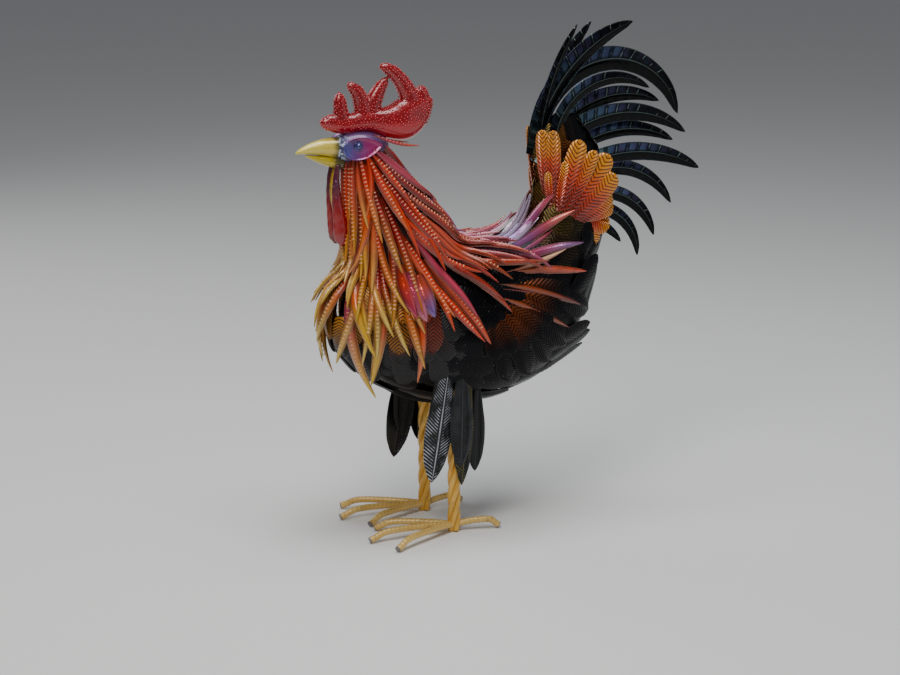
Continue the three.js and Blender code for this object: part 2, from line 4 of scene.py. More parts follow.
import bmesh
import bpy
import numpy as np
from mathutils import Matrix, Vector


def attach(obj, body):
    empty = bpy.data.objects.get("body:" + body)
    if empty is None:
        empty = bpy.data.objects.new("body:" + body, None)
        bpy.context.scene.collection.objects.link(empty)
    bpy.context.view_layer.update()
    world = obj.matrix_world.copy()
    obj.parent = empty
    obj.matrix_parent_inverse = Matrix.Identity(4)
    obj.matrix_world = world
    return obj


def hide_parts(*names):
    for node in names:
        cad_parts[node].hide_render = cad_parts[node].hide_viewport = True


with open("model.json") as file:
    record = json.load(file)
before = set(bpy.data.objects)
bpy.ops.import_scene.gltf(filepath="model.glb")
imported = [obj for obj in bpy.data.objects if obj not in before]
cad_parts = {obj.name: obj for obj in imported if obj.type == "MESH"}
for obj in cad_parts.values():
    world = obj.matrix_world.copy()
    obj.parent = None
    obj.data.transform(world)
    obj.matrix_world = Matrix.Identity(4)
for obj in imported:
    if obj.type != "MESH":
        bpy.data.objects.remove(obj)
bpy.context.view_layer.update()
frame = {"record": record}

# Camera, floor and light. The camera looks at the bird's left side from in front, a little from above,
# and the bird stands on a plain pale floor in soft light from large lamps.
VIEW_TURN = math.radians(24)
VIEW_DROP = math.radians(13.3)
CAMERA_AT = (-1.0367, -2.1828, 0.7841)
LENS = 85.0


def link(made):
    bpy.context.scene.collection.objects.link(made)
    return made


camera = link(bpy.data.objects.new("camera", bpy.data.cameras.new("camera")))
camera.location = CAMERA_AT
camera.rotation_euler = (math.pi / 2 - VIEW_DROP, 0, -VIEW_TURN)
camera.data.lens = LENS
bpy.context.scene.camera = camera


def lamp(name, size, power, place, colour=(1, 1, 1)):
    """A square soft lamp that shines at the middle of the bird."""
    data = bpy.data.lights.new(name, "AREA")
    data.size = size
    data.energy = power
    data.color = colour
    made = link(bpy.data.objects.new(name, data))
    made.location = place
    towards = Vector((0, 0, 0.3)) - made.location
    made.rotation_euler = towards.to_track_quat("-Z", "Y").to_euler()


lamp("key", 0.9, 22, (-1.1, -1.3, 2.0), (1, 0.97, 0.93))
lamp("fill", 2.0, 5, (1.9, -1.9, 1.0), (0.9, 0.95, 1))
lamp("top", 1.3, 34, (0.0, -0.2, 2.2), (0.94, 0.97, 1))
lamp("back", 1.2, 9, (-1.0, 1.9, 1.3))

world = bpy.data.worlds.new("studio")
world.use_nodes = True
world.node_tree.nodes["Background"].inputs["Color"].default_value = (0.78, 0.82, 0.88, 1)
world.node_tree.nodes["Background"].inputs["Strength"].default_value = 0.2
bpy.context.scene.world = world


def mesh_object(name, points, faces):
    """A smooth mesh object at the origin, from points in metres."""
    mesh = bpy.data.meshes.new(name)
    mesh.from_pydata([tuple(p) for p in points], [], [tuple(f) for f in faces])
    mesh.polygons.foreach_set("use_smooth", [True] * len(mesh.polygons))
    mesh.update()
    return link(bpy.data.objects.new(name, mesh))


FLOOR_REACH = 30.0
corners = [(x * FLOOR_REACH, y * FLOOR_REACH, 0) for x, y in ((-1, -1), (1, -1), (1, 1), (-1, 1))]
floor = mesh_object("floor", corners, [(0, 1, 2, 3)])
floor_paint = bpy.data.materials.new("floor_paint")
floor_paint.use_nodes = True
floor_paint.node_tree.nodes["Principled BSDF"].inputs["Base Color"].default_value = (0.8, 0.79, 0.77, 1)
floor_paint.node_tree.nodes["Principled BSDF"].inputs["Roughness"].default_value = 0.85
floor.data.materials.append(floor_paint)

# Body shell and neck tube. The bird is built round two hollow shells of rolled and welded sheet steel, an
# egg-shaped body drawn up into the flat tail base, and the neck cone. They carry all the feather plates.
# Each row of a spine: x, z, radius in the middle plane, radius to the side, in millimetres from the legs.
BODY_SPINE = np.array([
    (-104, 262, 6, 5),
    (-88, 258, 44, 34),
    (-52, 248, 73, 55),
    (-8, 240, 86, 66),
    (38, 237, 88, 69),
    (84, 247, 80, 64),
    (119, 274, 64, 52),
    (143, 311, 48, 39),
    (159, 352, 40, 28),
    (165, 394, 36, 19),
    (160, 430, 30, 12),
    (155, 446, 12, 5),
], float)
NECK_SPINE = np.array([
    (-92, 446, 19, 16),
    (-84, 420, 25, 22),
    (-72, 388, 32, 28),
    (-58, 350, 43, 36),
    (-44, 308, 56, 46),
    (-34, 270, 62, 52),
], float)
MM = 0.001
LEGS_AHEAD = -frame["record"]["mounts"][0]["pos_m"][0] / MM


def placed(points):
    """Millimetres from the legs as metres in the frame."""
    return (np.asarray(points, float) - (LEGS_AHEAD, 0, 0)) * MM


def smooth_rows(rows, t):
    """Catmull-Rom values of a table of rows at shares t of its length."""
    last = len(rows) - 1
    place = np.clip(t, 0, 1) * last
    i = np.minimum(np.floor(place).astype(int), last - 1)
    f = (place - i)[..., None]
    p0, p1 = rows[np.maximum(i - 1, 0)], rows[i]
    p2, p3 = rows[i + 1], rows[np.minimum(i + 2, last)]
    square = 2 * p0 - 5 * p1 + 4 * p2 - p3
    cube = 3 * p1 - p0 - 3 * p2 + p3
    return p1 + 0.5 * f * (p2 - p0 + f * (square + f * cube))


def unit(v):
    return v / np.maximum(np.linalg.norm(v, axis=-1, keepdims=True), 1e-12)


def stations(rows, t):
    """Centres, directions, upward normals and radii of a spine at shares t."""
    x, z, tall, wide = np.moveaxis(smooth_rows(rows, t), -1, 0)
    step = smooth_rows(rows, t + 0.01) - smooth_rows(rows, t - 0.01)
    flat = np.zeros_like(x)
    along = unit(np.stack([step[..., 0], flat, step[..., 1]], -1))
    up = np.stack([-along[..., 2], flat, along[..., 0]], -1)
    return np.stack([x, flat, z], -1), along, up, tall, wide


def tube_faces(rings, sides):
    """Faces through rings of points, with a fan to a middle point at each end."""
    faces = []
    last = (rings - 1) * sides
    for k in range(sides):
        n = (k + 1) % sides
        faces += [(i + k, i + n, i + sides + n, i + sides + k) for i in range(0, last, sides)]
        faces += [(rings * sides, n, k), (rings * sides + 1, last + k, last + n)]
    return faces


def loft(rows, rings, sides, y=0.0, dent=None):
    """Points and faces of a round body along a spine. dent(share, turn) changes its radius in millimetres."""
    rows = np.array(rows, float)
    share = np.linspace(0, 1, rings)
    at, _, up, tall, wide = stations(rows, share)
    turn = np.linspace(0, 2 * math.pi, sides, endpoint=False)
    change = dent(share[:, None], turn[None]) if dent else np.zeros((rings, sides))
    high = np.cos(turn) * (tall[:, None] + change)
    side = np.sin(turn) * (wide[:, None] + change)
    points = at[:, None] + high[..., None] * up[:, None]
    points[..., 1] += side + y
    points = np.vstack([points.reshape(-1, 3), at[:1] + (0, y, 0), at[-1:] + (0, y, 0)])
    return points, tube_faces(rings, sides)


def lofted(name, *spine, **more):
    points, faces = loft(*spine, **more)
    return mesh_object(name, placed(points), faces)


def tint(code):
    """A colour from its six hexadecimal digits, as linear light."""
    shares = [int(code[i:i + 2], 16) / 255 for i in (0, 2, 4)]
    return tuple(s / 12.92 if s < 0.04045 else ((s + 0.055) / 1.055) ** 2.4 for s in shares) + (1.0,)


class Wire:
    """A socket of a node tree, so that sums on sockets read as plain arithmetic."""

    def __init__(self, board, socket):
        self.board = board
        self.socket = socket

    def output(self, name):
        return Wire(self.board, self.socket.node.outputs[name])

    def __add__(self, other):
        return self.board.sum("ADD", self, other)

    def __radd__(self, other):
        return self.board.sum("ADD", other, self)

    def __sub__(self, other):
        return self.board.sum("SUBTRACT", self, other)

    def __rsub__(self, other):
        return self.board.sum("SUBTRACT", other, self)

    def __mul__(self, other):
        return self.board.sum("MULTIPLY", self, other)

    def __rmul__(self, other):
        return self.board.sum("MULTIPLY", other, self)

    def __pow__(self, other):
        return self.board.sum("POWER", self, other)

    def __abs__(self):
        return self.board.sum("ABSOLUTE", self)


class Board:
    """Lays out the nodes of one tree."""

    def __init__(self, tree):
        self.tree = tree

    def node(self, kind, settings=None, inputs=(), output=0):
        """Adds a node: its settings first, then the values or links of its sockets."""
        made = self.tree.nodes.new(kind)
        for name, value in (settings or {}).items():
            if name == "stops":
                ramp = made.color_ramp.elements
                while len(ramp) < len(value):
                    ramp.new(0.5)
                for stop, (place, colour) in zip(ramp, value):
                    stop.position = place
                    stop.color = colour
            elif name == "curve":
                points = made.mapping.curves[0].points
                while len(points) < len(value):
                    points.new(0.5, 0.5)
                for point, place in zip(points, value):
                    point.location = place
                made.mapping.update()
            else:
                setattr(made, name, value)
        for key, value in inputs.items() if isinstance(inputs, dict) else enumerate(inputs):
            for one in value if isinstance(value, list) else [value]:
                if isinstance(one, Wire):
                    self.tree.links.new(one.socket, made.inputs[key])
                else:
                    made.inputs[key].default_value = one
        return Wire(self, made.outputs[output]) if len(made.outputs) else made

    def sum(self, operation, *values):
        return self.node("ShaderNodeMath", {"operation": operation}, values)

    def vector(self, operation, *values):
        return self.node("ShaderNodeVectorMath", {"operation": operation}, values)

    def scaled(self, vector, size):
        settings = {"operation": "SCALE"}
        return self.node("ShaderNodeVectorMath", settings, {"Vector": vector, "Scale": size})

    def within(self, value, low, high):
        """0 below low, 1 above high and smooth between."""
        settings = {"interpolation_type": "SMOOTHSTEP"}
        return self.node("ShaderNodeMapRange", settings, {"Value": value, "From Min": low, "From Max": high})

    def mix(self, share, a, b):
        """A blend of two colours, each given as a wire, as numbers or as six hexadecimal digits."""
        a, b = (tint(one) if isinstance(one, str) else one for one in (a, b))
        return self.node("ShaderNodeMix", {"data_type": "RGBA"}, {0: share, 6: a, 7: b}, output=2)

    def noise(self, scale, detail=2.0):
        place = self.node("ShaderNodeTexCoord", output="Object")
        return self.node("ShaderNodeTexNoise", None, {"Vector": place, "Scale": scale, "Detail": detail})

    def attribute(self, name):
        return self.node("ShaderNodeAttribute", {"attribute_name": name}, output="Vector")

    def parts(self, vector):
        made = self.node("ShaderNodeSeparateXYZ", None, [vector])
        return made, made.output("Y"), made.output("Z")

    def spot(self):
        """The place on the object, as x, y and z."""
        return self.parts(self.node("ShaderNodeTexCoord", output="Object"))

    def pressing(self):
        """The share along a plate, the share from its middle to its edge and the height of its ribs."""
        return self.parts(self.attribute("press"))


# The fineness of the clouds of grime and of the flecks of bare steel.
CLOUDS = 55.0
FLECKS = 620.0
GRIME = tint("1d1712")
BARE_STEEL = tint("77706a")


def lacquer(name, paint, roughness=0.3, metallic=0.2, coat=0.5, peel=0.3, chips=0.7, grime=0.5, grain=1500.0):
    """Lacquered steel: paint(board) gives its colour. chips is the share of the surface that stays whole,
    grain the fineness of its bumps."""
    material = bpy.data.materials.new(name)
    material.use_nodes = True
    tree = material.node_tree
    tree.nodes.clear()
    board = Board(tree)
    clouds = board.noise(CLOUDS, 4.0)
    flecks = board.noise(FLECKS, 3.0)
    dirty = board.within(clouds, 0.5, 0.78) * grime
    bare = board.within(flecks, chips, chips + 0.03)
    colour = board.mix(dirty, paint(board), GRIME)
    colour = board.mix(bare, colour, BARE_STEEL)
    skin = board.noise(grain) + clouds * 2.0 - bare
    bump = board.node("ShaderNodeBump", None, {"Strength": peel, "Distance": 0.0004, "Height": skin})
    shader = board.node("ShaderNodeBsdfPrincipled", None, {
        "Base Color": colour,
        "Roughness": roughness + dirty * 0.5 + bare * 0.15,
        "Metallic": metallic + bare * 0.4,
        "Coat Weight": coat,
        "Coat Roughness": 0.12,
        "Normal": bump,
    })
    board.node("ShaderNodeOutputMaterial", None, [shader])
    return material


def finished(made, slot, *nodes, material=None):
    """The calls that every piece of the bird gets."""
    if material:
        made.data.materials.clear()
        made.data.materials.append(material)
    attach(made, "root")
    if nodes:
        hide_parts(*nodes)
    return made


def clouded(scale, low, high):
    """Paint that drifts between two colours."""
    return lambda board: board.mix(board.noise(scale), low, high)


black_shell = lacquer("black_shell", clouded(30.0, "060608", "12100e"), roughness=0.75, metallic=0.9,
                      coat=0.0)
rust_shell = lacquer("rust_shell", clouded(40.0, "5a1a0e", "2a100a"), roughness=0.4)


def breastbone(share, turn):
    """The shell stands out along the front of the belly, where its two halves are welded."""
    ends = np.clip(share / 0.08, 0, 1) * np.clip((0.4 - share) / 0.12, 0, 1)
    return 9 * np.exp(-((turn - math.pi) / 0.3) ** 2) * ends


body_shell = lofted("body_shell_skin", BODY_SPINE, 60, 48, dent=breastbone)
finished(body_shell, "black_paint", "body_shell", material=black_shell)
neck_tube = lofted("neck_tube_skin", NECK_SPINE, 30, 36)
finished(neck_tube, "hackle_paint", "neck_tube", material=rust_shell)

# Flank, belly and rump plates. Leaves stamped from thin sheet, each with a creased midrib and herringbone
# barbs, lie over the shell in rows like roof tiles, welded at their roots and lacquered black.
SHELL_BLEND = 14.0
# The height of a root over the shell.
SEAT = 1.4
# Further out than any point of the shell lies from its spine.
SEARCH_REACH = 160.0


def spine_segments(rows, count):
    at, _, _, tall, wide = stations(rows, np.linspace(0, 1, count + 1))
    return at, tall, wide


SHELL_LINES = [spine_segments(BODY_SPINE, 33), spine_segments(NECK_SPINE, 15)]


def line_value(p, line):
    at, tall, wide = line
    a, b = at[:-1], at[1:]
    e = (b - a)[:, [0, 2]]
    d = p[..., None, [0, 2]] - a[:, [0, 2]]
    u = np.clip((d * e).sum(-1) / (e * e).sum(-1), 0, 1)
    r = tall[:-1] + (tall[1:] - tall[:-1]) * u
    side = p[..., None, 1] * r / (wide[:-1] + (wide[1:] - wide[:-1]) * u)
    off = d - u[..., None] * e
    return (np.sqrt((off * off).sum(-1) + side * side) - r).min(-1)


def shell_value(p):
    """Rough distance of points from the two shells, with a soft hollow where they meet."""
    a, b = (line_value(p, line) for line in SHELL_LINES)
    h = np.maximum(SHELL_BLEND - np.abs(a - b), 0) / SHELL_BLEND
    return np.minimum(a, b) - h * h * SHELL_BLEND / 4


def shell_normal(p):
    e = 0.5 * np.eye(3)
    slope = np.stack([shell_value(p + e[k]) - shell_value(p - e[k]) for k in range(3)], -1)
    steepness = np.linalg.norm(slope, axis=-1, keepdims=True)
    return slope / steepness, shell_value(p) / steepness[..., 0]


def settle(p, height):
    for _ in range(4):
        normal, now = shell_normal(p)
        p = p + normal * (height - now)[..., None]
    return p, shell_normal(p)[0]


def over_shell(inside, out, height):
    """Points at a height over the shells, straight out from points inside them."""
    low = np.zeros(len(inside))
    high = np.full(len(inside), SEARCH_REACH)
    for _ in range(24):
        middle = (low + high) / 2
        outside = shell_value(inside + out * middle[:, None]) > 0
        high = np.where(outside, middle, high)
        low = np.where(outside, low, middle)
    return settle(inside + out * high[:, None], np.broadcast_to(height, len(inside)))[0]


def over_spine(rows, t, turn, height):
    """The same at a turn in degrees round a spine: 0 is the back, 90 the left side, 180 the front."""
    t, turn = np.broadcast_arrays(np.atleast_1d(t).astype(float), np.radians(turn))
    at, _, up, _, _ = stations(rows, t)
    out = up * np.cos(turn)[:, None]
    out[:, 1] = -np.sin(turn)
    return over_shell(at, out, height)


def chance(seed, salt):
    """A repeatable number from 0 to 1 for the unevenness of hand work."""
    return np.modf(np.sin(np.asarray(seed) * 12.9898 + salt * 78.233) * 43758.5453)[0] % 1


def uneven(seed, salt, size):
    return (chance(seed, salt) * 2 - 1) * size


def rising(angle):
    """A direction in the middle plane, in degrees above the way to the tail."""
    angle = np.radians(np.atleast_1d(angle).astype(float))
    return np.stack([np.cos(angle), np.zeros_like(angle), np.sin(angle)], -1)


PATH_STEPS = 32
PATH_EVERY = 4


def lay(roots, headings, lengths, lift, bend, free=1.0):
    """Midribs laid over the shells from their roots at lift(share), with a bend in degrees along each.
    From the share free onwards a midrib runs straight on."""
    lengths = np.broadcast_to(lengths, len(roots)).astype(float)
    bend = np.radians(np.broadcast_to(bend, len(roots)).astype(float))
    p, normal = settle(roots, np.broadcast_to(lift(0.0), len(roots)))
    paths, outs = [], []
    along = headings
    for i in range(PATH_STEPS + 1):
        held = i / PATH_STEPS < free
        if held:
            flat = unit(headings - normal * (headings * normal).sum(-1, keepdims=True))
            angle = (bend * i / PATH_STEPS)[:, None]
            along = flat * np.cos(angle) + np.cross(normal, flat) * np.sin(angle)
        if i % PATH_EVERY == 0:
            paths.append(p)
            outs.append(normal)
        p = p + along * (lengths / PATH_STEPS)[:, None]
        if held:
            p, normal = settle(p, np.broadcast_to(lift((i + 1) / PATH_STEPS), len(roots)))
    return np.stack(paths, 1), np.stack(outs, 1)


def new_tree(name, **sizes):
    """A geometry tree with named inputs. Returns its board and the wires of its inputs."""
    tree = bpy.data.node_groups.new(name, "GeometryNodeTree")
    tree.interface.new_socket("Geometry", in_out="INPUT", socket_type="NodeSocketGeometry")
    for label, value in sizes.items():
        kind = "NodeSocketInt" if isinstance(value, int) else "NodeSocketFloat"
        tree.interface.new_socket(label, in_out="INPUT", socket_type=kind).default_value = value
    tree.interface.new_socket("Material", in_out="INPUT", socket_type="NodeSocketMaterial")
    tree.interface.new_socket("Geometry", in_out="OUTPUT", socket_type="NodeSocketGeometry")
    board = Board(tree)
    entry = board.node("NodeGroupInput")
    labels = [item.name for item in tree.interface.items_tree if item.in_out == "INPUT"]
    return board, {label: entry.output(label) for label in labels}


def close_tree(board, given, solid):
    """Ends a tree in Realize Instances and Set Material."""
    real = board.node("GeometryNodeRealizeInstances", None, [solid])
    smooth = board.node("GeometryNodeSetShadeSmooth", None, {"Geometry": real})
    painted = board.node("GeometryNodeSetMaterial", None, {"Geometry": smooth, "Material": given["Material"]})
    board.node("NodeGroupOutput", None, [painted])
    return board.tree


def named(board, name, kind="FLOAT_VECTOR"):
    return board.node("GeometryNodeInputNamedAttribute", {"data_type": kind}, {"Name": name})


def stored(board, solid, name, value, kind="FLOAT_VECTOR"):
    inputs = {"Geometry": solid, "Name": name, "Value": value}
    return board.node("GeometryNodeStoreNamedAttribute", {"data_type": kind, "domain": "POINT"}, inputs)


def midribs(board, given):
    """The host's points as smooth curves, one for each plate."""
    points = board.node("GeometryNodeMeshToPoints", None, {"Mesh": given["Geometry"]})
    plate, share = named(board, "plate", "INT"), named(board, "share", "FLOAT")
    curves = board.node("GeometryNodePointsToCurves", None,
                        {"Points": points, "Curve Group ID": plate, "Weight": share})
    curves = board.node("GeometryNodeCurveSplineType", {"spline_type": "CATMULL_ROM"}, {"Curve": curves})
    return points, board.node("GeometryNodeSetSplineResolution", None, {"Geometry": curves, "Resolution": 4})


RIM_STEP = 0.00001
LEAF_OUTLINE = [(0, 0.5), (0.22, 0.78), (0.5, 1), (0.75, 0.97), (0.9, 0.72), (0.97, 0.4), (1, 0)]


def plate_tree(name, outline, further=None, **more):
    """Presses plates along midribs: a roof-shaped sheet with slanted ribs that run from the crease to the
    edge. further(board, given, curves) gives what else is joined to them, with its sizes in more."""
    board, given = new_tree(
        name, Ribs=20, Across=7, Rib_height=0.0004, Slant=0.12, Sharp=2.0, Crease=0.002, Round=1.0,
        Thick=0.0009, Edge_drop=0.0, **more,
    )
    points, curves = midribs(board, given)
    head = board.sum("LESS_THAN", named(board, "share", "FLOAT"), 0.001)
    heads = board.node("GeometryNodeSeparateGeometry", {"domain": "POINT"}, [points, head])
    inputs = {"Size X": 1, "Size Y": 1, "Vertices X": given["Ribs"] * 4 + 1, "Vertices Y": given["Across"]}
    grid = board.node("GeometryNodeMeshGrid", None, inputs)
    grid = stored(board, grid, "sheet", board.node("GeometryNodeInputPosition"))
    sheets = board.node("GeometryNodeInstanceOnPoints", None, {"Points": heads, "Instance": grid})
    sheets = board.node("GeometryNodeRealizeInstances", None, [sheets])
    x, y, _ = board.parts(named(board, "sheet"))
    share = x + 0.5
    across = y * 2
    off = abs(across)
    belly = board.sum("SQRT", board.sum("MAXIMUM", board.sum("SINE", share * math.pi), 0))
    reach = board.sum("MINIMUM", share + off * belly * given["Slant"], 1)
    plate = named(board, "plate", "INT")
    at = board.node("GeometryNodeSampleCurve", {"mode": "FACTOR", "data_type": "FLOAT_VECTOR"},
                    {"Curves": curves, "Value": named(board, "out"), "Factor": reach, "Curve Index": plate})
    along = board.vector("NORMALIZE", at.output("Tangent"))
    side = board.vector("NORMALIZE", board.vector("CROSS_PRODUCT", along, at))
    out = board.vector("CROSS_PRODUCT", side, along)
    width = board.node("ShaderNodeFloatCurve", {"curve": outline}, {"Value": reach})
    width = width * named(board, "half_width", "FLOAT")
    phase = abs(board.sum("FRACT", share * given["Ribs"] + 0.001) - 0.5)
    ridge = board.sum("MAXIMUM", 1 - phase * given["Sharp"], 0)
    flat = board.within(off, 0.02, 0.3) * (1 - board.within(off, 0.93, 1.0))
    roof = (1 - off ** given["Round"]) * given["Crease"] * (1 - reach ** 6) - off * off * given["Edge_drop"]
    high = roof + ridge * flat * given["Rib_height"]
    move = board.vector("ADD", board.scaled(side, across * width), board.scaled(out, high))
    sheets = stored(board, sheets, "press", board.node("ShaderNodeCombineXYZ", None, [reach, across, ridge]))
    place = board.vector("ADD", at.output("Position"), move)
    sheets = board.node("GeometryNodeSetPosition", None, {"Geometry": sheets, "Position": place})
    back = board.node("GeometryNodeFlipFaces", None, [sheets])
    inputs = {"Mesh": sheets, "Offset Scale": given["Thick"], "Individual": False}
    front = board.node("GeometryNodeExtrudeMesh", {"mode": "FACES"}, inputs)
    both = board.node("GeometryNodeJoinGeometry", None, [[front, back]])
    plates = board.node("GeometryNodeMergeByDistance", None, {"Geometry": both, "Distance": RIM_STEP})
    if further:
        plates = board.node("GeometryNodeJoinGeometry", None, [[plates, further(board, given, curves)]])
    return close_tree(board, given, plates)


leaf_plates = plate_tree("leaf_plates", LEAF_OUTLINE)


def grown(name, mesh, tree, material, sharp=50, **sizes):
    """The plain mesh object that a tree makes from a host mesh."""
    host = link(bpy.data.objects.new(name + "_host", mesh))
    modifier = host.modifiers.new("tree", "NODES")
    modifier.node_group = tree
    sizes["Material"] = material
    for item in tree.interface.items_tree:
        if item.in_out == "INPUT" and item.name in sizes:
            modifier[item.identifier] = sizes[item.name]
    graph = bpy.context.evaluated_depsgraph_get()
    solid = host.evaluated_get(graph)
    made = bpy.data.meshes.new_from_object(solid, preserve_all_data_layers=True, depsgraph=graph)
    made.name = name
    made.set_sharp_from_angle(angle=math.radians(sharp))
    bpy.data.objects.remove(host)
    return link(bpy.data.objects.new(name, made))


def host_mesh(name, paths, outs, fields):
    """Loose points along the midribs, with what the tree reads of each plate."""
    plates, steps = paths.shape[:2]
    mesh = bpy.data.meshes.new(name)
    mesh.vertices.add(plates * steps)
    mesh.vertices.foreach_set("co", placed(paths).ravel())
    columns = {
        "plate": ("INT", np.repeat(np.arange(plates), steps)),
        "share": ("FLOAT", np.tile(np.linspace(0, 1, steps), plates)),
        "out": ("FLOAT_VECTOR", outs),
    }
    for label, values in fields.items():
        values = np.asarray(values, float)
        kind = "FLOAT_VECTOR" if values.ndim == 2 else "FLOAT"
        columns[label] = (kind, np.repeat(values, steps, axis=0))
    for label, (kind, values) in columns.items():
        layer = mesh.attributes.new(label, kind, "POINT")
        field = "vector" if kind == "FLOAT_VECTOR" else "value"
        layer.data.foreach_set(field, np.ascontiguousarray(values).ravel())
    return mesh


def pressed(name, laid, wide, root_paint, tip_paint, tree, material, dashed=0.0, **sizes):
    """An object of plates along laid midribs. wide is each plate's width in millimetres."""
    paths, outs = laid
    plates = len(paths)
    fields = {
        "half_width": np.broadcast_to(np.asarray(wide, float) * MM / 2, plates),
        "dashed": np.broadcast_to(dashed, plates),
        "root_paint": np.broadcast_to(np.asarray(root_paint, float)[..., :3], (plates, 3)),
        "tip_paint": np.broadcast_to(np.asarray(tip_paint, float)[..., :3], (plates, 3)),
    }
    return grown(name, host_mesh(name, paths, outs, fields), tree, material, **sizes)


def plate_paint(groove_shade, groove_shade_share=0.85, worn=0.25):
    """Paint that runs from a plate's root colour to its tip colour, with painted shade darkening the grooves
    between ribs.
    """

    def paint(board):
        reach, across, ridge = board.pressing()
        run = board.within(reach + board.noise(45.0) * 0.3 - 0.15, 0.15, 0.9)
        colour = board.mix(run, board.attribute("root_paint"), board.attribute("tip_paint"))
        # Painted shade: darker towards the given colour in the grooves between the ribs.
        painted_groove_shade = (1 - board.within(ridge, 0.1, 0.7)) * groove_shade_share
        edge = board.within(abs(across), 0.93, 1.0) * worn
        return board.mix(edge, board.mix(painted_groove_shade, colour, groove_shade), "b8a898")

    return paint


BLACK = tint("121216")
OLIVE = tint("6a5a26")
BROWN = tint("7c3a14")
# The grooves between the ribs get near-black painted shade.
black_leaf = lacquer("black_leaf", plate_paint("020202", worn=0.05), roughness=0.32, metallic=0.85,
                     coat=0.05, grime=0.3)


def blend(a, b, share):
    share = np.asarray(share, float)[..., None]
    return np.asarray(a)[..., :3] * (1 - share) + np.asarray(b)[..., :3] * share


def body_row(number, t, plates, length, rise, free=1.0, first=14.0, wide=30.0):
    """A row of leaves round the body whose tips point to the tail."""
    share = np.linspace(0, 1, plates)
    turn = first + (360 - 2 * first) * share
    seed = number * 50 + np.arange(plates)
    _, along, _, _, _ = stations(BODY_SPINE, np.array([t]))
    roots = over_spine(BODY_SPINE, np.full(plates, t), turn + uneven(seed, 51, 2), SEAT)
    lengths = length + uneven(seed, 52, 5)
    headings = np.broadcast_to(along, (plates, 3))
    laid = lay(roots, headings, lengths, lambda s: SEAT + rise * s, uneven(seed, 53, 8), free)
    high = np.clip((np.cos(np.radians(turn)) + 0.15) / 0.6, 0, 1) * np.clip((t - 0.5) / 0.2, 0, 1)
    ridge = blend(BLACK, blend(OLIVE, BROWN, chance(seed, 54)), high)
    return laid, np.full(plates, wide), ridge


def several(rows):
    """Rows of laid plates put together."""
    paths = np.concatenate([row[0][0] for row in rows])
    outs = np.concatenate([row[0][1] for row in rows])
    return (paths, outs), np.concatenate([row[1] for row in rows]), np.concatenate([row[2] for row in rows])


# Each row's number, share along the body, count of leaves, length and rise of the tips over the shell, and
# where they differ from most rows the share of a leaf that follows the shell, the first turn from the back
# and the width. The tips of rows 10, 11, 12 and 15 stand out behind.
REAR_ROWS = [
    (1, 0.83, 9, 44, 3.0), (2, 0.76, 11, 50, 3.4), (3, 0.69, 13, 52, 3.6),
    (15, 0.9, 9, 42, 4.0, 0.5, 14.0, 24.0),
]
MIDDLE_ROWS = [
    (4, 0.62, 15, 54, 4.0, 0.9), (5, 0.545, 17, 64, 4.6, 0.72), (6, 0.47, 17, 66, 4.6, 0.75),
    (11, 0.53, 9, 76, 15.0, 0.35, 112.0, 23.0), (12, 0.64, 7, 60, 14.0, 0.35, 116.0, 22.0),
]
FRONT_ROWS = [
    (7, 0.4, 18, 68, 4.6, 0.85), (8, 0.33, 17, 62, 4.4), (9, 0.26, 17, 58, 4.2),
    (10, 0.43, 8, 88, 15.0, 0.35, 122.0, 23.0), (13, 0.2, 17, 56, 2.2, 1.0, 14.0, 23.0),
    (14, 0.13, 13, 50, 1.8, 1.0, 14.0, 22.0), (16, 0.07, 11, 42, 1.2, 1.0, 14.0, 20.0),
]
for name, rows, node in (
    ("rump_leaves", REAR_ROWS, "flank_row_3"),
    ("flank_leaves", MIDDLE_ROWS, "flank_row_2"),
    ("belly_leaves", FRONT_ROWS, "flank_row_1"),
):
    laid, wide, ridge = several([body_row(*row) for row in rows])
    leaves = pressed(name, laid, wide, ridge, ridge, leaf_plates, black_leaf,
                     Ribs=15, Rib_height=0.0006, Crease=0.0022, Slant=0.16)
    finished(leaves, "black_paint", node)

# Wings. Each is a fan of long leaves stamped from sheet and lacquered black, welded on at the shoulder, with
# a second, shorter fan over their roots.
def fan(hand, plates, t, turn, angle, length, rise, seed, sway=3, bend=0.0, bow=1.0):
    """Leaves side by side over the body, from the first to the second value of each pair."""
    share = np.linspace(0, 1, plates)
    number = np.arange(plates)

    def between(pair):
        return pair[0] + (pair[1] - pair[0]) * share

    roots = over_spine(BODY_SPINE, between(t), hand * between(turn), SEAT)
    headings = rising(between(angle) + uneven(number + seed, 23, sway))
    lengths = between(length) + uneven(number, seed + 42, 6)
    lifts = rise[0] + (rise[1] - rise[0]) * (number % 2)
    return lay(roots, headings, lengths, lambda s: SEAT + lifts * s ** bow, hand * bend)


HANDS = (("left", 1), ("right", -1))
for side_name, hand in HANDS:
    long_fan = fan(hand, 6, (0.37, 0.49), (80, 60), (-74, -20), (78, 108), (7.2, 9.6), 0)
    short_fan = fan(hand, 7, (0.35, 0.46), (76, 52), (-80, -14), (50, 66), (10.5, 12.5), 31)
    wing = pressed(f"wing_leaves_{side_name}", long_fan, 28.0, BLACK, BLACK, leaf_plates, black_leaf,
                   Ribs=24, Rib_height=0.0008, Crease=0.0026, Slant=0.13)
    finished(wing, "black_paint", f"wing_{side_name}")
    rusty = blend(BLACK, BROWN, np.array((0.3, 0.6, 1, 1, 1, 1, 0.8)))
    shoulder = pressed(f"shoulder_leaves_{side_name}", short_fan, 22.0, rusty, BLACK, leaf_plates, black_leaf,
                       Ribs=15, Rib_height=0.0008, Crease=0.0026, Slant=0.15)
    finished(shoulder, "black_paint")
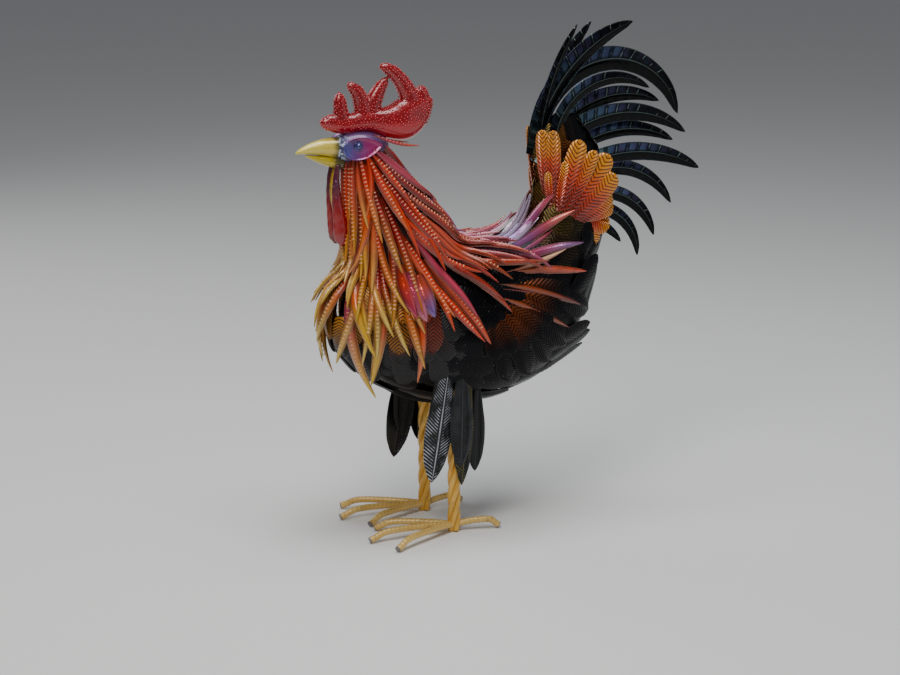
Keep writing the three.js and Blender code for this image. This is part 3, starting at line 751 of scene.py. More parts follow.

# Breast plates. Shorter leaves pressed from sheet hang round the breast, lacquered yellow to orange, with
# painted shade darkening the grooves between the ribs to black. The lower ones fade to black at the tips.
BREAST_YELLOW = tint("c07c08")
BREAST_ORANGE = tint("a8380a")
# Painted shade turns the grooves between the ribs fully black.
breast_leaf = lacquer("breast_leaf", plate_paint("040302", groove_shade_share=1.0, worn=0.08), roughness=0.34,
                      metallic=0.4, coat=0.1)
BREAST_MIDDLE = np.array((-38.0, 0.0, 257.0))


def breast_row(number, plates, spread, above, length, rise, dark, wide=26.0):
    """A row of hanging leaves. dark is how far its colour goes to black, and all go black to the rear."""
    turn = np.radians(np.linspace(-spread, spread, plates))
    out = unit(np.stack([-np.cos(turn), np.sin(turn), np.full(plates, 0.05)], -1))
    middle = np.broadcast_to(BREAST_MIDDLE + (0, 0, above), (plates, 3))
    roots = over_shell(middle, out, SEAT)
    seed = np.arange(plates) + number * 30
    lifts = rise + 2.4 * (np.arange(plates) % 2)
    headings = np.broadcast_to((0.0, 0.0, -1.0), (plates, 3))
    lengths = length + uneven(seed, 21, 5)
    laid = lay(roots, headings, lengths, lambda s: SEAT + lifts * s, uneven(seed, 22, 6))
    aside = np.clip((np.abs(turn) - 0.85) / 0.5 + uneven(seed, 24, 0.2), 0, 1)
    rear = np.maximum((np.abs(turn) - 1.5) / 0.4, 0)
    colour = blend(blend(BREAST_YELLOW, BREAST_ORANGE, aside), BLACK, np.clip(rear + dark, 0, 1))
    return laid, np.full(plates, wide), colour


# Number, count of leaves, spread to each side, height over the middle of the breast, length and rise of the
# tips over the shell, share of black, and the width where it isn't the usual one.
BREAST_ROWS = [
    (0, 10, 106, 0, 50, 3.6, 0.0), (1, 14, 118, -18, 66, 0.6, 1.0),
    (2, 13, 112, 24, 60, 4.4, 0.0, 24.0), (3, 9, 80, 52, 56, 9.0, 0.0),
]
# How far the tips of each row fade to black.
BREAST_FADES = (1.0, 1.0, 0.4, 0.0)
laid, wide, colour = several([breast_row(*row) for row in BREAST_ROWS])
fade = np.repeat(BREAST_FADES, [row[1] for row in BREAST_ROWS])
breast = pressed("breast_leaves", laid, wide, colour, blend(colour, BLACK, fade), leaf_plates, breast_leaf,
                 Ribs=16, Rib_height=0.001, Crease=0.0024, Slant=0.17)
finished(breast, "breast_paint", "breast_plates")

# Neck hackles. Long narrow strips cut from sheet and rolled to a rounded section hang in rows round the neck,
# most with a line of pressed dashes along the crown. Their paint runs from red to orange and pink, with
# yellow tips over the breast and lilac along the nape.
RED = tint("9a0a02")
ORANGE = tint("d23200")
SALMON = tint("d04a28")
PINK = tint("b83452")
LILAC = tint("7a5a9c")
YELLOW = tint("d2a800")
STRAW = tint("d8bc5c")
PALE = tint("ffc8a0")
BRONZE = tint("8c3c12")


def strip_paint(board):
    reach, across, ridge = board.pressing()
    blotch = board.noise(38.0) * 0.5 - 0.25
    run = board.within(reach + blotch, 0.25, 0.95)
    colour = board.mix(run, board.attribute("root_paint"), board.attribute("tip_paint"))
    off = abs(across)
    # Painted shade: the rolled strip darkens towards its sides.
    colour = board.mix(board.within(off, 0.3, 0.85) * 0.6, colour, "4a0802")
    # Painted shade: darker at the roots, under the strips above.
    colour = board.mix((1 - board.within(reach, 0.0, 0.35)) * 0.45, colour, "400602")
    # Pale along the edges, partly worn bare edge and partly painted highlight, and painted glints on the
    # pressed dashes.
    pale_edges_and_glints = board.within(off, 0.92, 1.0) * 0.35 + board.within(ridge, 1.2, 1.8) * 0.35
    return board.mix(pale_edges_and_glints, colour, PALE)


hackle_lacquer = lacquer("hackle_lacquer", strip_paint, roughness=0.26, metallic=0.1, coat=0.6, peel=0.4,
                         chips=0.74, grime=0.3)
HACKLE_OUTLINE = [
    (0, 0.6), (0.2, 0.86), (0.42, 1), (0.62, 0.92), (0.8, 0.66), (0.92, 0.38), (0.98, 0.2), (1, 0.05),
]


def dash_line(board, given, curves):
    """Pressed dashes across the crease, one every Dash_gap."""
    inputs = {"Curve": curves, "Length": given["Dash_gap"]}
    points = board.node("GeometryNodeCurveToPoints", {"mode": "LENGTH"}, inputs)
    share = named(board, "share", "FLOAT")
    inside = board.sum("LESS_THAN", abs(share - 0.45), 0.38) * named(board, "dashed", "FLOAT")
    turned = board.node("FunctionNodeAxesToRotation", {"primary_axis": "X", "secondary_axis": "Z"},
                        {"Primary Axis": points.output("Tangent"), "Secondary Axis": named(board, "out")})
    dome = board.node("GeometryNodeMeshIcoSphere", None, {"Radius": 1, "Subdivisions": 1})
    sizes = [given[label] for label in ("Dash_long", "Dash_wide", "Dash_high")]
    size = board.node("ShaderNodeCombineXYZ", None, sizes)
    inputs = {"Points": points, "Selection": inside, "Instance": dome, "Rotation": turned, "Scale": size}
    dashes = board.node("GeometryNodeInstanceOnPoints", None, inputs)
    lift = board.scaled(named(board, "out"), given["Crease"] * (1 - share ** 6))
    inputs = {"Instances": dashes, "Translation": lift, "Local Space": False}
    dashes = board.node("GeometryNodeTranslateInstances", None, inputs)
    dashes = board.node("GeometryNodeRealizeInstances", None, [dashes])
    press = board.node("ShaderNodeCombineXYZ", None, [share, 0, 2])
    return stored(board, dashes, "press", press)


hackle_strips = plate_tree("hackle_strips", HACKLE_OUTLINE, dash_line,
                           Dash_gap=0.0044, Dash_long=0.001, Dash_wide=0.0023, Dash_high=0.0009)


def strips(name, laid, wide, root_paint, tip_paint, material, dashed=0.0, **sizes):
    """Strips along laid midribs: plates without cross ribs."""
    sizes = {"Ribs": 7, "Rib_height": 0.0, "Slant": 0.0} | sizes
    return pressed(name, laid, wide, root_paint, tip_paint, hackle_strips, material, dashed, **sizes)


def hackle_colours(turn, t, seed):
    """Root and tip colours of strips at a turn round the neck and a share t down it."""
    nape = (1 + np.cos(np.radians(turn))) / 2
    beside = np.exp(-((nape - 0.42) / 0.17) ** 2)
    pick = (chance(seed, 61) + beside * 0.22)[:, None]
    root = np.array(PINK[:3])
    for below, paint in ((0.88, SALMON), (0.66, ORANGE), (0.3, RED)):
        root = np.where(pick < below, paint[:3], root)
    root = blend(root, LILAC, np.clip((nape - 0.9) * 7, 0, 0.75))
    front = np.clip(1.5 - nape * 3.2, 0, 1) * np.clip(0.55 + t, 0, 1)
    rear = np.clip((nape - 0.55) * 3, 0, 1) * np.clip((0.97 - nape) * 9, 0, 1)
    gold = blend(YELLOW, STRAW, chance(seed, 63) * 0.8)
    tip = blend(blend(root, SALMON, 0.3 + uneven(seed, 62, 0.3)), gold, front)
    return blend(root, BRONZE, rear * t * 0.6), blend(tip, BRONZE, rear * 0.85)


# How far the tips stand off the neck for each millimetre of length, and the share of strips with dashes.
HACKLE_FLARE = 0.136
DASHED_SHARE = 0.62


def hackle_row(number, t, count, length, wide, step, offset=0.0):
    """A row of strips; step and offset place them between those of other rows."""
    i = np.arange(count)
    seed = number * 40 + i + offset * 400
    turn = (i + 0.5 * step + offset) / count * 360 + uneven(seed, 1, 4)
    nape = (1 + np.cos(np.radians(turn))) / 2
    lengths = length * (1 + uneven(seed, 2, 0.12))
    curl = (uneven(seed, 4, 3) + 4) * (1 - nape)
    lean = np.radians(70 * nape ** 1.3 + uneven(seed, 3, 7))
    headings = np.stack([np.sin(lean), np.zeros(count), -np.cos(lean)], -1)
    first = SEAT + chance(seed, 7) * 2.2 * (offset > 0)
    laid = lay(over_spine(NECK_SPINE, np.full(count, t), turn, SEAT), headings, lengths,
               lambda s: first + HACKLE_FLARE * lengths * s + curl * s ** 4, uneven(seed, 5, 32))
    root, tip = hackle_colours(turn, t, seed)
    return laid, wide * (1 + uneven(seed, 6, 0.2)), root, tip, (chance(seed, 8) < DASHED_SHARE) * 1.0


# Share down the neck, count of strips, length and width.
HACKLE_ROWS = [(0.74, 12, 134, 11.5), (0.54, 11, 134, 11.0), (0.35, 9, 128, 10.5), (0.17, 8, 126, 9.5)]
# How much further up the neck, at what offset and how long the strips in between are.
BETWEEN_ROWS = [(0.05, 0.5, 0.92), (0.1, 0.25, 0.84), (0.15, 0.75, 0.88)]
HEAD_ROW = (9, 0.06, 15, 74, 7.5, 0, 0.5)
ROLLED = {"Round": 1.5, "Edge_drop": 0.0008, "Thick": 0.0008}
for k, (t, count, length, wide) in enumerate(HACKLE_ROWS):
    step = (k + 1) % 2
    rows = [hackle_row(k + 1, t, count, length, wide, step)]
    for up, offset, share in BETWEEN_ROWS:
        row = (k + 1, max(t - up, 0.02), count, length * share, wide * 0.88, step, offset)
        rows.append(hackle_row(*row))
    if k == len(HACKLE_ROWS) - 1:
        rows.append(hackle_row(*HEAD_ROW))
    laid, wides, root = several([row[:3] for row in rows])
    tip, dashed = (np.concatenate([row[i] for row in rows]) for i in (3, 4))
    hackles = strips(f"hackles_{k + 1}", laid, wides, root, tip, hackle_lacquer, dashed,
                     Crease=0.0032, **ROLLED)
    finished(hackles, "hackle_paint", f"hackle_row_{k + 1}")

# Shoulder blades. On each shoulder three broad leaves of hammered sheet lie over the strips, without ribs,
# and their pink lacquer runs into salmon and lilac.
blade_lacquer = lacquer("blade_lacquer", strip_paint, roughness=0.16, metallic=0.5, coat=0.9, peel=1.0,
                        chips=0.72, grain=330.0)
# Share down the neck, turn, length and width.
BLADES = np.array([(0.76, 106, 58, 20), (0.8, 97, 50, 19), (0.72, 114, 62, 15)], float)
BLADE_ROOTS = np.array((PINK, SALMON, ORANGE))
BLADE_TIPS = np.array((tint("c86a80"), LILAC, PINK))
BLADE_SEAT = 14.0
BLADE_RISE = 8.0
for side_name, hand in HANDS:
    share, turn, length, wide = BLADES.T
    roots = over_spine(NECK_SPINE, share, hand * turn, BLADE_SEAT)
    headings = np.tile((0.2, 0.0, -1.0), (3, 1))
    laid = lay(roots, headings, length, lambda s: BLADE_SEAT + BLADE_RISE * s, hand * 10.0)
    blades = strips(f"shoulder_blades_{side_name}", laid, wide, BLADE_ROOTS, BLADE_TIPS, blade_lacquer,
                    Crease=0.003, **ROLLED)
    finished(blades, "hackle_paint")

# Saddle. Thin strips without dashes, cut from sheet and welded on at the shoulder, sweep from the back over
# the wings and up the tail base. They are lacquered pink, lilac and bronze.
saddle_lacquer = lacquer("saddle_lacquer", strip_paint, roughness=0.22, metallic=0.3, coat=0.7, peel=0.35,
                         chips=0.7, grime=0.4)
WHITISH = tint("b8a8c0")
MAUVE = tint("7a4a84")
DARK_RED = tint("6a1410")
# Colours from the upright strips to the lowest, of the main, the inner and the thin ones.
SADDLE_ROOTS = np.array([
    LILAC, MAUVE, PINK, BRONZE, BRONZE, BRONZE, LILAC, WHITISH, MAUVE, BRONZE, DARK_RED, *[WHITISH] * 4,
])
SADDLE_TIPS = np.array([
    PINK, SALMON, MAUVE, SALMON, DARK_RED, BRONZE, LILAC, WHITISH, PINK, PALE, DARK_RED, *[WHITISH] * 4,
])
SADDLE_WIDES = np.array([13, 12.5, 11, 10, 9.5, 9] + [7.5] * 5 + [3.2] * 4)
for side_name, hand in HANDS:
    main = fan(hand, 6, (0.5, 0.37), (14, 56), (42, -24), (106, 112), (12, 10), 41, sway=4, bow=0.8, bend=-10)
    inner = fan(hand, 5, (0.45, 0.38), (10, 50), (58, -8), (84, 96), (7, 9), 47, sway=7, bow=0.8, bend=12)
    thin = fan(hand, 4, (0.46, 0.42), (3, 22), (76, 40), (92, 84), (12, 8), 53, sway=6, bow=0.9, bend=6)
    laid = tuple(np.concatenate([row[k] for row in (main, inner, thin)]) for k in (0, 1))
    saddle = strips(f"saddle_strips_{side_name}", laid, SADDLE_WIDES, SADDLE_ROOTS, SADDLE_TIPS,
                    saddle_lacquer, Crease=0.0028, Edge_drop=0.0008)
    finished(saddle, "saddle_paint", f"saddle_{side_name}")

# Tail coverts. Broad leaves pressed from sheet, with blunt tips and deep herringbone, are welded in a fan on
# each side of the tail base, red-orange at the root and yellow-orange at the tip.
COVERT_ROOT = tint("8c1600")
COVERT_MIDDLE = tint("d83c00")
COVERT_TIP = tint("e89400")
BLUNT_OUTLINE = [(0, 0.55), (0.25, 0.78), (0.55, 1), (0.8, 0.97), (0.92, 0.8), (0.98, 0.45), (1, 0)]


def covert_paint(board):
    reach, across, ridge = board.pressing()
    blotch = board.noise(50.0) * 0.4 - 0.2
    colour = board.mix(board.within(reach + blotch, 0.2, 0.6), COVERT_ROOT, COVERT_MIDDLE)
    colour = board.mix(board.within(reach + blotch, 0.45, 0.95), colour, COVERT_TIP)
    # Painted shade: darker in the grooves between the ribs.
    colour = board.mix((1 - board.within(ridge, 0.1, 0.7)) * 0.85, colour, "3c0800")
    # Painted highlight: pale along the edges and on the rib crests.
    edge = board.within(abs(across), 0.88, 0.97) * 0.3 + board.within(ridge, 0.85, 1.0) * 0.15
    return board.mix(edge, colour, "f0a860")


covert_lacquer = lacquer("covert_lacquer", covert_paint, roughness=0.26, metallic=0.25, coat=0.6, grime=0.35)
covert_leaves = plate_tree("covert_leaves", BLUNT_OUTLINE)
# Root x and z inside the base, the turn from side to front in which the root lies straight out from there,
# heading, length, width and the tilt outwards for each millimetre of length.
COVERTS = np.array([
    (160, 372, 62, 94, 84, 18, 0.06),
    (152, 368, 38, 90, 88, 17, 0.1),
    (140, 356, 0, 75, 91, 23, 0.06),
    (143, 354, 0, 64, 86, 18, 0.1),
    (146, 352, 0, 54, 91, 26, 0.06),
    (151, 349, 0, 44, 77, 27, 0.1),
    (155, 347, 0, 34, 58, 25, 0.06),
    (168, 372, 0, -72, 54, 25, 0.1),
    (156, 362, 50, 92, 46, 11, 0.1),
    (142, 356, 8, 82, 64, 14, 0.03),
    (149, 352, 0, 49, 76, 20, 0.02),
    (158, 354, 0, 12, 50, 22, 0.04),
    (164, 360, 0, -28, 44, 24, 0.05),
], float)


def straight(roots, ends, outs):
    """Straight midribs."""
    share = np.linspace(0, 1, PATH_STEPS // PATH_EVERY + 1)[None, :, None]
    paths = roots[:, None] * (1 - share) + ends[:, None] * share
    return paths, np.broadcast_to(outs[:, None], paths.shape).copy()


for side_name, hand in HANDS:
    side = -hand
    x, z, turn, heading, length, wide, tilt = COVERTS.T
    face = np.stack([-np.sin(np.radians(turn)), side * np.cos(np.radians(turn)), np.zeros_like(turn)], -1)
    roots = over_shell(np.stack([x, np.zeros_like(x), z], -1), face, SEAT)
    way = rising(heading) + face * tilt[:, None]
    laid = straight(roots, roots + way * length[:, None], shell_normal(roots)[0])
    coverts = pressed(f"covert_leaves_{side_name}", laid, wide, COVERT_ROOT, COVERT_TIP,
                      covert_leaves, covert_lacquer, Ribs=17, Across=9, Rib_height=0.0013,
                      Crease=0.003, Edge_drop=0.001, Slant=0.13)
    finished(coverts, "covert_paint", f"tail_coverts_{side_name}")

# Tail sickles. Thirteen curved blades of sheet, each folded along its middle and pressed with cross lines,
# are welded into the tail base. Their lacquer is black; the blue-green and violet sheen on the upper faces is
# painted light from above, with painted glints on the cross lines and the crease.
# Root x and z, heading, how far the heading sinks, length, width and how far the tip stands to the side.
SICKLES = [
    (125, 466, 82, 24, 118, 10, -9),
    (128, 462, 68, 22, 136, 15, 9),
    (124, 460, 73, 57, 173, 22, -4),
    (129, 460, 76, 150, 252, 27, 5),
    (143, 455, 77, 112, 147, 16, -10),
    (146, 444, 51, 76, 165, 20, 10),
    (148, 439, 41, 79, 182, 21, -4),
    (175, 431, 31, 61, 141, 18, 5),
    (193, 418, 17, 48, 142, 20, -9),
    (195, 399, 19, 79, 137, 17, 9),
    (201, 379, 3, 80, 102, 16, -4),
    (200, 359, -2, 85, 99, 15, 5),
    (199, 344, -25, 33, 37, 11, -9),
]
SICKLE_ROOT = 34.0
# The first three blades have roots of this share of the length.
SHORT_ROOTS = 3
SHORT_SHARE = 0.55
SICKLE_SHIFT = np.array((-0.4, 0.0, -1.3))
SICKLE_OUTLINE = [
    (0, 0.7), (0.18, 0.85), (0.32, 0.96), (0.46, 1), (0.6, 0.95), (0.73, 0.84), (0.87, 0.6), (0.95, 0.36),
    (1, 0),
]


def sickle_paint(board):
    reach, across, ridge = board.pressing()
    # Painted light: faces turned up get a sheen from pale green-white at the root through teal, blue and
    # violet, fading to black towards the tip; faces turned down stay black.
    facing = board.node("ShaderNodeNewGeometry", output="Normal")
    _, _, up = board.parts(facing)
    stops = [(0.2, "b4c8bc"), (0.32, "587c80"), (0.45, "56688a"), (0.6, "524e74"), (0.75, "20282e")]
    painted_sheen = board.node("ShaderNodeValToRGB", {"stops": [(place, tint(code)) for place, code in stops]},
                       [board.noise(26.0, 3.0) + reach * 0.5 - 0.22])
    lit = board.within(up, 0.0, 0.45) * (1 - board.within(reach + board.noise(20.0) * 0.3, 0.6, 0.95) * 0.9)
    colour = board.mix(lit, "020304", painted_sheen)
    off = abs(across)
    # Painted shade along the pressed cross lines.
    colour = board.mix(board.within(ridge, 0.02, 0.3) * 0.75, colour, "05080b")
    patches = board.within(board.noise(90.0), 0.4, 0.62) * 0.6
    # Painted glints on the cross lines of upward faces, in patches, and a painted highlight along the crease
    # and the edges.
    line = board.within(ridge, 0.7, 1.0) * board.within(up, -0.1, 0.4) * patches
    crease_and_edge_glint = (1 - board.within(off, 0.02, 0.07)) * 0.25 + board.within(off, 0.93, 0.99) * 0.12
    return board.mix(line + crease_and_edge_glint * (1 - board.within(reach, 0.6, 0.95) * 0.6), colour, "a8c0b8")


sickle_lacquer = lacquer("sickle_lacquer", sickle_paint, roughness=0.26, metallic=0.85, coat=0.1,
                         chips=0.76, grime=0.3)
sickle_blades = plate_tree("sickle_blades", SICKLE_OUTLINE)
RIB_GAP = 13.5


def sickle_path(x, z, heading, bend, length, side, root):
    steps = 24
    p = np.array((x, side, z), float) + SICKLE_SHIFT
    points = [p - rising(heading + 4)[0] * root]
    for i in range(steps + 1):
        if i % 3 == 0:
            points.append(p)
        p = p + rising(heading - bend * (i + 0.5) / steps)[0] * length / steps + (0, side / steps, 0)
    return np.array(points)


for k, (x, z, heading, bend, length, wide, side) in enumerate(SICKLES):
    root = SICKLE_ROOT * (SHORT_SHARE if k < SHORT_ROOTS else 1)
    path = sickle_path(x, z, heading, bend, length, side, root)
    paths = np.stack([path, path])
    outs = np.zeros_like(paths)
    outs[0, :, 1] = -1
    outs[1, :, 1] = 1
    ribs = int((length + SICKLE_ROOT) / RIB_GAP)
    blade = pressed(f"sickle_{k + 1}", (paths, outs), wide * 1.1, BLACK, BLACK, sickle_blades, sickle_lacquer,
                    Ribs=ribs, Rib_height=0.0006, Sharp=4.0, Crease=0.16 * wide * MM + 0.0015, Slant=0.03)
    finished(blade, "tail_paint", f"tail_sickle_{k + 1}")

# Head. A round shell pressed from sheet steel sits on the neck cone, in purple lacquer that has chipped to
# bluish white round the beak.
HEAD = np.array((-96.0, 0.0, 447.0))
HEAD_SIZE = (34.0, 21.0, 19.5)


def head_rows(rings=15):
    """The spine of an egg: a cut through it at each ring."""
    way = 2 * np.linspace(0.03, 0.97, rings) - 1
    round_off = np.sqrt(1 - way ** 2)
    middle = np.full(rings, HEAD[2])
    tall, wide = HEAD_SIZE[2] * round_off, HEAD_SIZE[1] * round_off
    return np.stack([HEAD[0] + HEAD_SIZE[0] * way, middle, tall, wide], -1)


def head_paint(board):
    x, _, _ = board.spot()
    colour = board.mix(board.noise(70.0), "4a3a6a", "6a3f6e")
    beak_side = 1 - board.within(x, -0.205, -0.186)
    flaked = board.within(board.noise(240.0, 4.0) + beak_side * 0.16, 0.66, 0.7) * beak_side
    colour = board.mix(beak_side * 0.8, colour, "2c4468")
    return board.mix(flaked, colour, "b8c6d4")


head_lacquer = lacquer("head_lacquer", head_paint, roughness=0.33, coat=0.5)
head = lofted("head_skin", head_rows(), 28, 32)
finished(head, "head_paint", "head_shell", material=head_lacquer)

# Beak. Two halves pressed from sheet steel, the upper one with a keel, are welded to the front of the head.
# They are lacquered glossy pale yellow above and olive-yellow below.
UPPER_BEAK = [
    (-118, 447.5, 12, 13), (-138, 449, 9.5, 10), (-153, 448.3, 6.2, 6.4), (-165, 446.2, 3.2, 3.4),
    (-171.3, 443.9, 0.8, 0.8),
]
LOWER_BEAK = [(-117, 430.5, 8, 9.4), (-136, 434.2, 5.6, 7), (-151, 438.4, 3, 4.2), (-160, 441.2, 0.9, 1.1)]


def keel(share, turn):
    """The spine runs forward, so turn 180 is the top: a low keel there, and flatter cheeks."""
    return 0.9 * np.exp(-((turn - math.pi) / 0.35) ** 2) * (1 - share) - 0.6 * np.sin(turn) ** 4 * (1 - share)


def beak_paint(low, high):
    def paint(board):
        x, _, _ = board.spot()
        colour = board.mix(board.noise(60.0, 3.0), low, high)
        base = board.within(x + board.noise(150.0) * 0.012, -0.206, -0.197)
        return board.mix(base * 0.85, colour, "2a2a26")

    return paint


upper_lacquer = lacquer("beak_upper", beak_paint("c8aa20", "ecdc70"), roughness=0.2, metallic=0.1, coat=0.8,
                        chips=0.74, grime=0.3)
lower_lacquer = lacquer("beak_lower", beak_paint("b09a0c", "d6c02c"), roughness=0.24, metallic=0.1, coat=0.7,
                        grime=0.4)
upper_half = lofted("beak_upper_half", UPPER_BEAK, 24, 24, dent=keel)
finished(upper_half, "beak_paint", "upper_beak", material=upper_lacquer)
lower_half = lofted("beak_lower_half", LOWER_BEAK, 18, 20)
finished(lower_half, "beak_paint", "lower_beak", material=lower_lacquer)

# Eyes. A flat almond plate with a thin raised rim is welded to each side of the head, blue-violet in front
# and magenta behind, with a small round stud for the eye. A thin dashed strip over it is the brow.
EYE_PLATE = np.array((-101.0, 22.0, 449.5))
EYE_PLATE_THICK = 1.6
RIM = 1.2


def bezier(a, b, c, d, count):
    t = np.linspace(0, 1, count, endpoint=False)[:, None]
    a, b, c, d = (np.array(v, float) for v in (a, b, c, d))
    return a * (1 - t) ** 3 + 3 * b * t * (1 - t) ** 2 + 3 * c * t * t * (1 - t) + d * t ** 3


def almond():
    upper = bezier((-23, -1), (-22, 14), (2, 17), (24, 2), 28)
    lower = bezier((24, 2), (10, -17), (-20, -20), (-23, -1), 28)
    return np.vstack([upper, lower])


def rings_object(name, rings, middles):
    """A closed solid through rings of equal count, capped at a middle point at each end."""
    rings = np.array(rings)
    points = np.vstack([rings.reshape(-1, 3), middles])
    faces = tube_faces(*rings.shape[:2])
    made = mesh_object(name, placed(points), faces)
    outward(made.data)
    return made


def outward(mesh):
    """Turns the faces of a closed mesh outwards."""
    bm = bmesh.new()
    bm.from_mesh(mesh)
    bmesh.ops.recalc_face_normals(bm, faces=bm.faces)
    bm.to_mesh(mesh)
    bm.free()


def eye_plate_paint(board):
    x, _, z = board.spot()
    back = board.within(x - z * 0.15 + board.noise(80.0) * 0.014, -0.262, -0.228)
    colour = board.mix(back, "4c4c98", "a01468")
    return board.mix(board.within(z, 0.452, 0.462) * 0.5, colour, "a02858")


eye_plate_lacquer = lacquer("eye_plate_lacquer", eye_plate_paint, roughness=0.25, metallic=0.3, coat=0.8,
                            chips=0.73, grime=0.4)
eye_lacquer = lacquer("eye_lacquer", clouded(120.0, "2a2a58", "4a4a8c"), roughness=0.12, metallic=0.5,
                      coat=1.0)
brow_lacquer = lacquer("brow_lacquer", strip_paint, roughness=0.3, metallic=0.2, coat=0.6)
# Share of the almond's size and height over the head in plate thicknesses, from the back of the plate to its
# middle in front. The rim stands on the third and fourth.
PLATE_LEVELS = [
    (1.0, 0), (1.0, 0.7), (0.97, 1.0), (0.93, 0.95), (0.88, 0.3), (0.7, 0.1), (0.4, 0.25), (0.15, 0.3),
]
RIM_SIZES = (0.97, 0.93)
# Radius and height of the stud over its place on the plate.
STUD_LEVELS = [
    (5.4, -0.3), (5.4, 0.4), (4.8, 0.7), (4.0, 0.6), (3.8, 1.2), (3.3, 2.6), (2.2, 3.6), (1.0, 4.1),
]
STUD = EYE_PLATE + (-5, 0.8, 2)
STUD_ENDS = (-0.3, 4.2)
BROW = np.array([(-88, 24.5, 463), (-74, 24.5, 457), (-52, 19, 450), (-30, 16, 447)], float)


def flat_ring(middle, outline, high, side):
    """A flat outline beside the head, so high over a middle point."""
    y = np.full(len(outline), side * (middle[1] + high))
    return np.stack([middle[0] + outline[:, 0], y, middle[2] + outline[:, 1]], -1)


for side_name, hand in HANDS:
    side = -hand
    rings = []
    for size, high in PLATE_LEVELS:
        over = high * EYE_PLATE_THICK + (RIM if size in RIM_SIZES else 0)
        rings.append(flat_ring(EYE_PLATE, almond() * size, over, side))
    back = EYE_PLATE * (1, side, 1)
    front = back + (0, side * 0.3 * EYE_PLATE_THICK, 0)
    plate = rings_object(f"eye_plate_{side_name}_rimmed", rings, [back, front])
    finished(plate, "eye_plate_paint", f"eye_plate_{side_name}", material=eye_plate_lacquer)
    turn = np.linspace(0, 2 * math.pi, 28, endpoint=False)
    circle = np.stack([np.cos(turn), np.sin(turn)], -1)
    rings = [flat_ring(STUD, circle * radius, high, side) for radius, high in STUD_LEVELS]
    ends = [(STUD + (0, high, 0)) * (1, side, 1) for high in STUD_ENDS]
    stud = rings_object(f"eye_{side_name}_stud", rings, ends)
    finished(stud, "eye_paint", f"eye_{side_name}", material=eye_lacquer)
    path = smooth_rows(BROW, np.linspace(0, 1, 9)) * (1, side, 1)
    out = np.broadcast_to(unit(np.array((0, side * 0.8, 0.6))), path.shape)
    brow = strips(f"brow_{side_name}_strip", (path[None], out[None]), 4.6, PINK, SALMON, brow_lacquer, 1.0,
                  Ribs=8, Crease=0.0016, Dash_gap=0.0048, Dash_long=0.0007, Dash_wide=0.0012,
                  Dash_high=0.0005)
    finished(brow, "hackle_paint", f"brow_{side_name}")

# Comb. A thick crest raised from two pressed halves, with small dots pressed out all over its upper part, in
# deep glossy red lacquer.
COMB_BASE = [
    (-139, 481, 3, 2.5), (-134, 477, 8.5, 6.5), (-112, 473, 11, 9), (-86, 476, 13, 12), (-62, 473, 18, 14.5),
    (-44, 475, 23, 15.5), (-28, 484, 20, 13), (-15, 493, 10, 8), (-9, 497, 3, 3),
]
COMB_FINGERS = [
    [(-117, 478, 9, 7.5), (-118, 491, 7.9, 6.6), (-119, 502, 6.2, 5.6), (-120, 509, 1.8, 1.8)],
    [
        (-90, 481, 11, 9), (-93, 495, 9.4, 7.8),
        (-98, 508, 7.8, 6.6), (-106, 515, 5.2, 4.8), (-110, 515.5, 1.4, 1.4),
    ],
    [
        (-82, 484, 9, 8.5), (-78, 498, 9.2, 7.8),
        (-71, 511, 7.2, 6.2), (-65, 519, 4.6, 4.2), (-63, 523.5, 1.2, 1.2),
    ],
    [
        (-30, 484, 13, 10), (-36, 501, 11.2, 9), (-45, 517, 9, 7.4),
        (-56, 529, 7.2, 6.2), (-66, 534, 5, 4.6), (-71.5, 534, 1.4, 1.4),
    ],
    [(-20, 492, 10, 8), (-20, 502, 7.5, 6.4), (-22, 509, 4.8, 4.6), (-23, 512, 1.4, 1.4)],
]
COMB_VOXEL = 0.0011
# Dots for each square metre before those nearer than their gap are dropped.
MOST_DOTS = 300000.0
DOTS_SEED = 4


def comb_paint(board):
    _, _, z = board.spot()
    _, _, dot = board.pressing()
    colour = board.mix(board.noise(45.0, 3.0), "98000e", "c4001a")
    # Painted shade: darker between the dots on the upper part.
    colour = board.mix(board.within(z, 0.468, 0.48) * (1 - dot) * 0.55, colour, "560008")
    # Painted glints: the dots are lighter.
    return board.mix(dot * 0.2, colour, "ff5a50")


comb_lacquer = lacquer("comb_lacquer", comb_paint, roughness=0.22, metallic=0.1, coat=0.8, peel=0.2,
                       chips=0.8, grime=0.2)


def joined_lofts(name, spines):
    points, faces = [], []
    for rows, rings, sides in spines:
        more, quads = loft(rows, rings, sides)
        start = sum(len(p) for p in points)
        points.append(more)
        faces += [tuple(i + start for i in quad) for quad in quads]
    made = mesh_object(name, placed(np.vstack(points)), faces)
    outward(made.data)
    return made


comb_body = joined_lofts("comb_body", [(COMB_BASE, 40, 28)] + [(finger, 26, 20) for finger in COMB_FINGERS])
remesh = comb_body.modifiers.new("weld", "REMESH")
remesh.mode = "VOXEL"
remesh.voxel_size = COMB_VOXEL
soften = comb_body.modifiers.new("soften", "SMOOTH")
soften.factor = 0.5
soften.iterations = 7


def applied(made):
    """The object with its modifiers turned into plain mesh."""
    graph = bpy.context.evaluated_depsgraph_get()
    mesh = bpy.data.meshes.new_from_object(made.evaluated_get(graph), depsgraph=graph)
    mesh.name = made.name
    made.modifiers.clear()
    made.data = mesh
    mesh.polygons.foreach_set("use_smooth", [True] * len(mesh.polygons))
    return made


applied(comb_body)

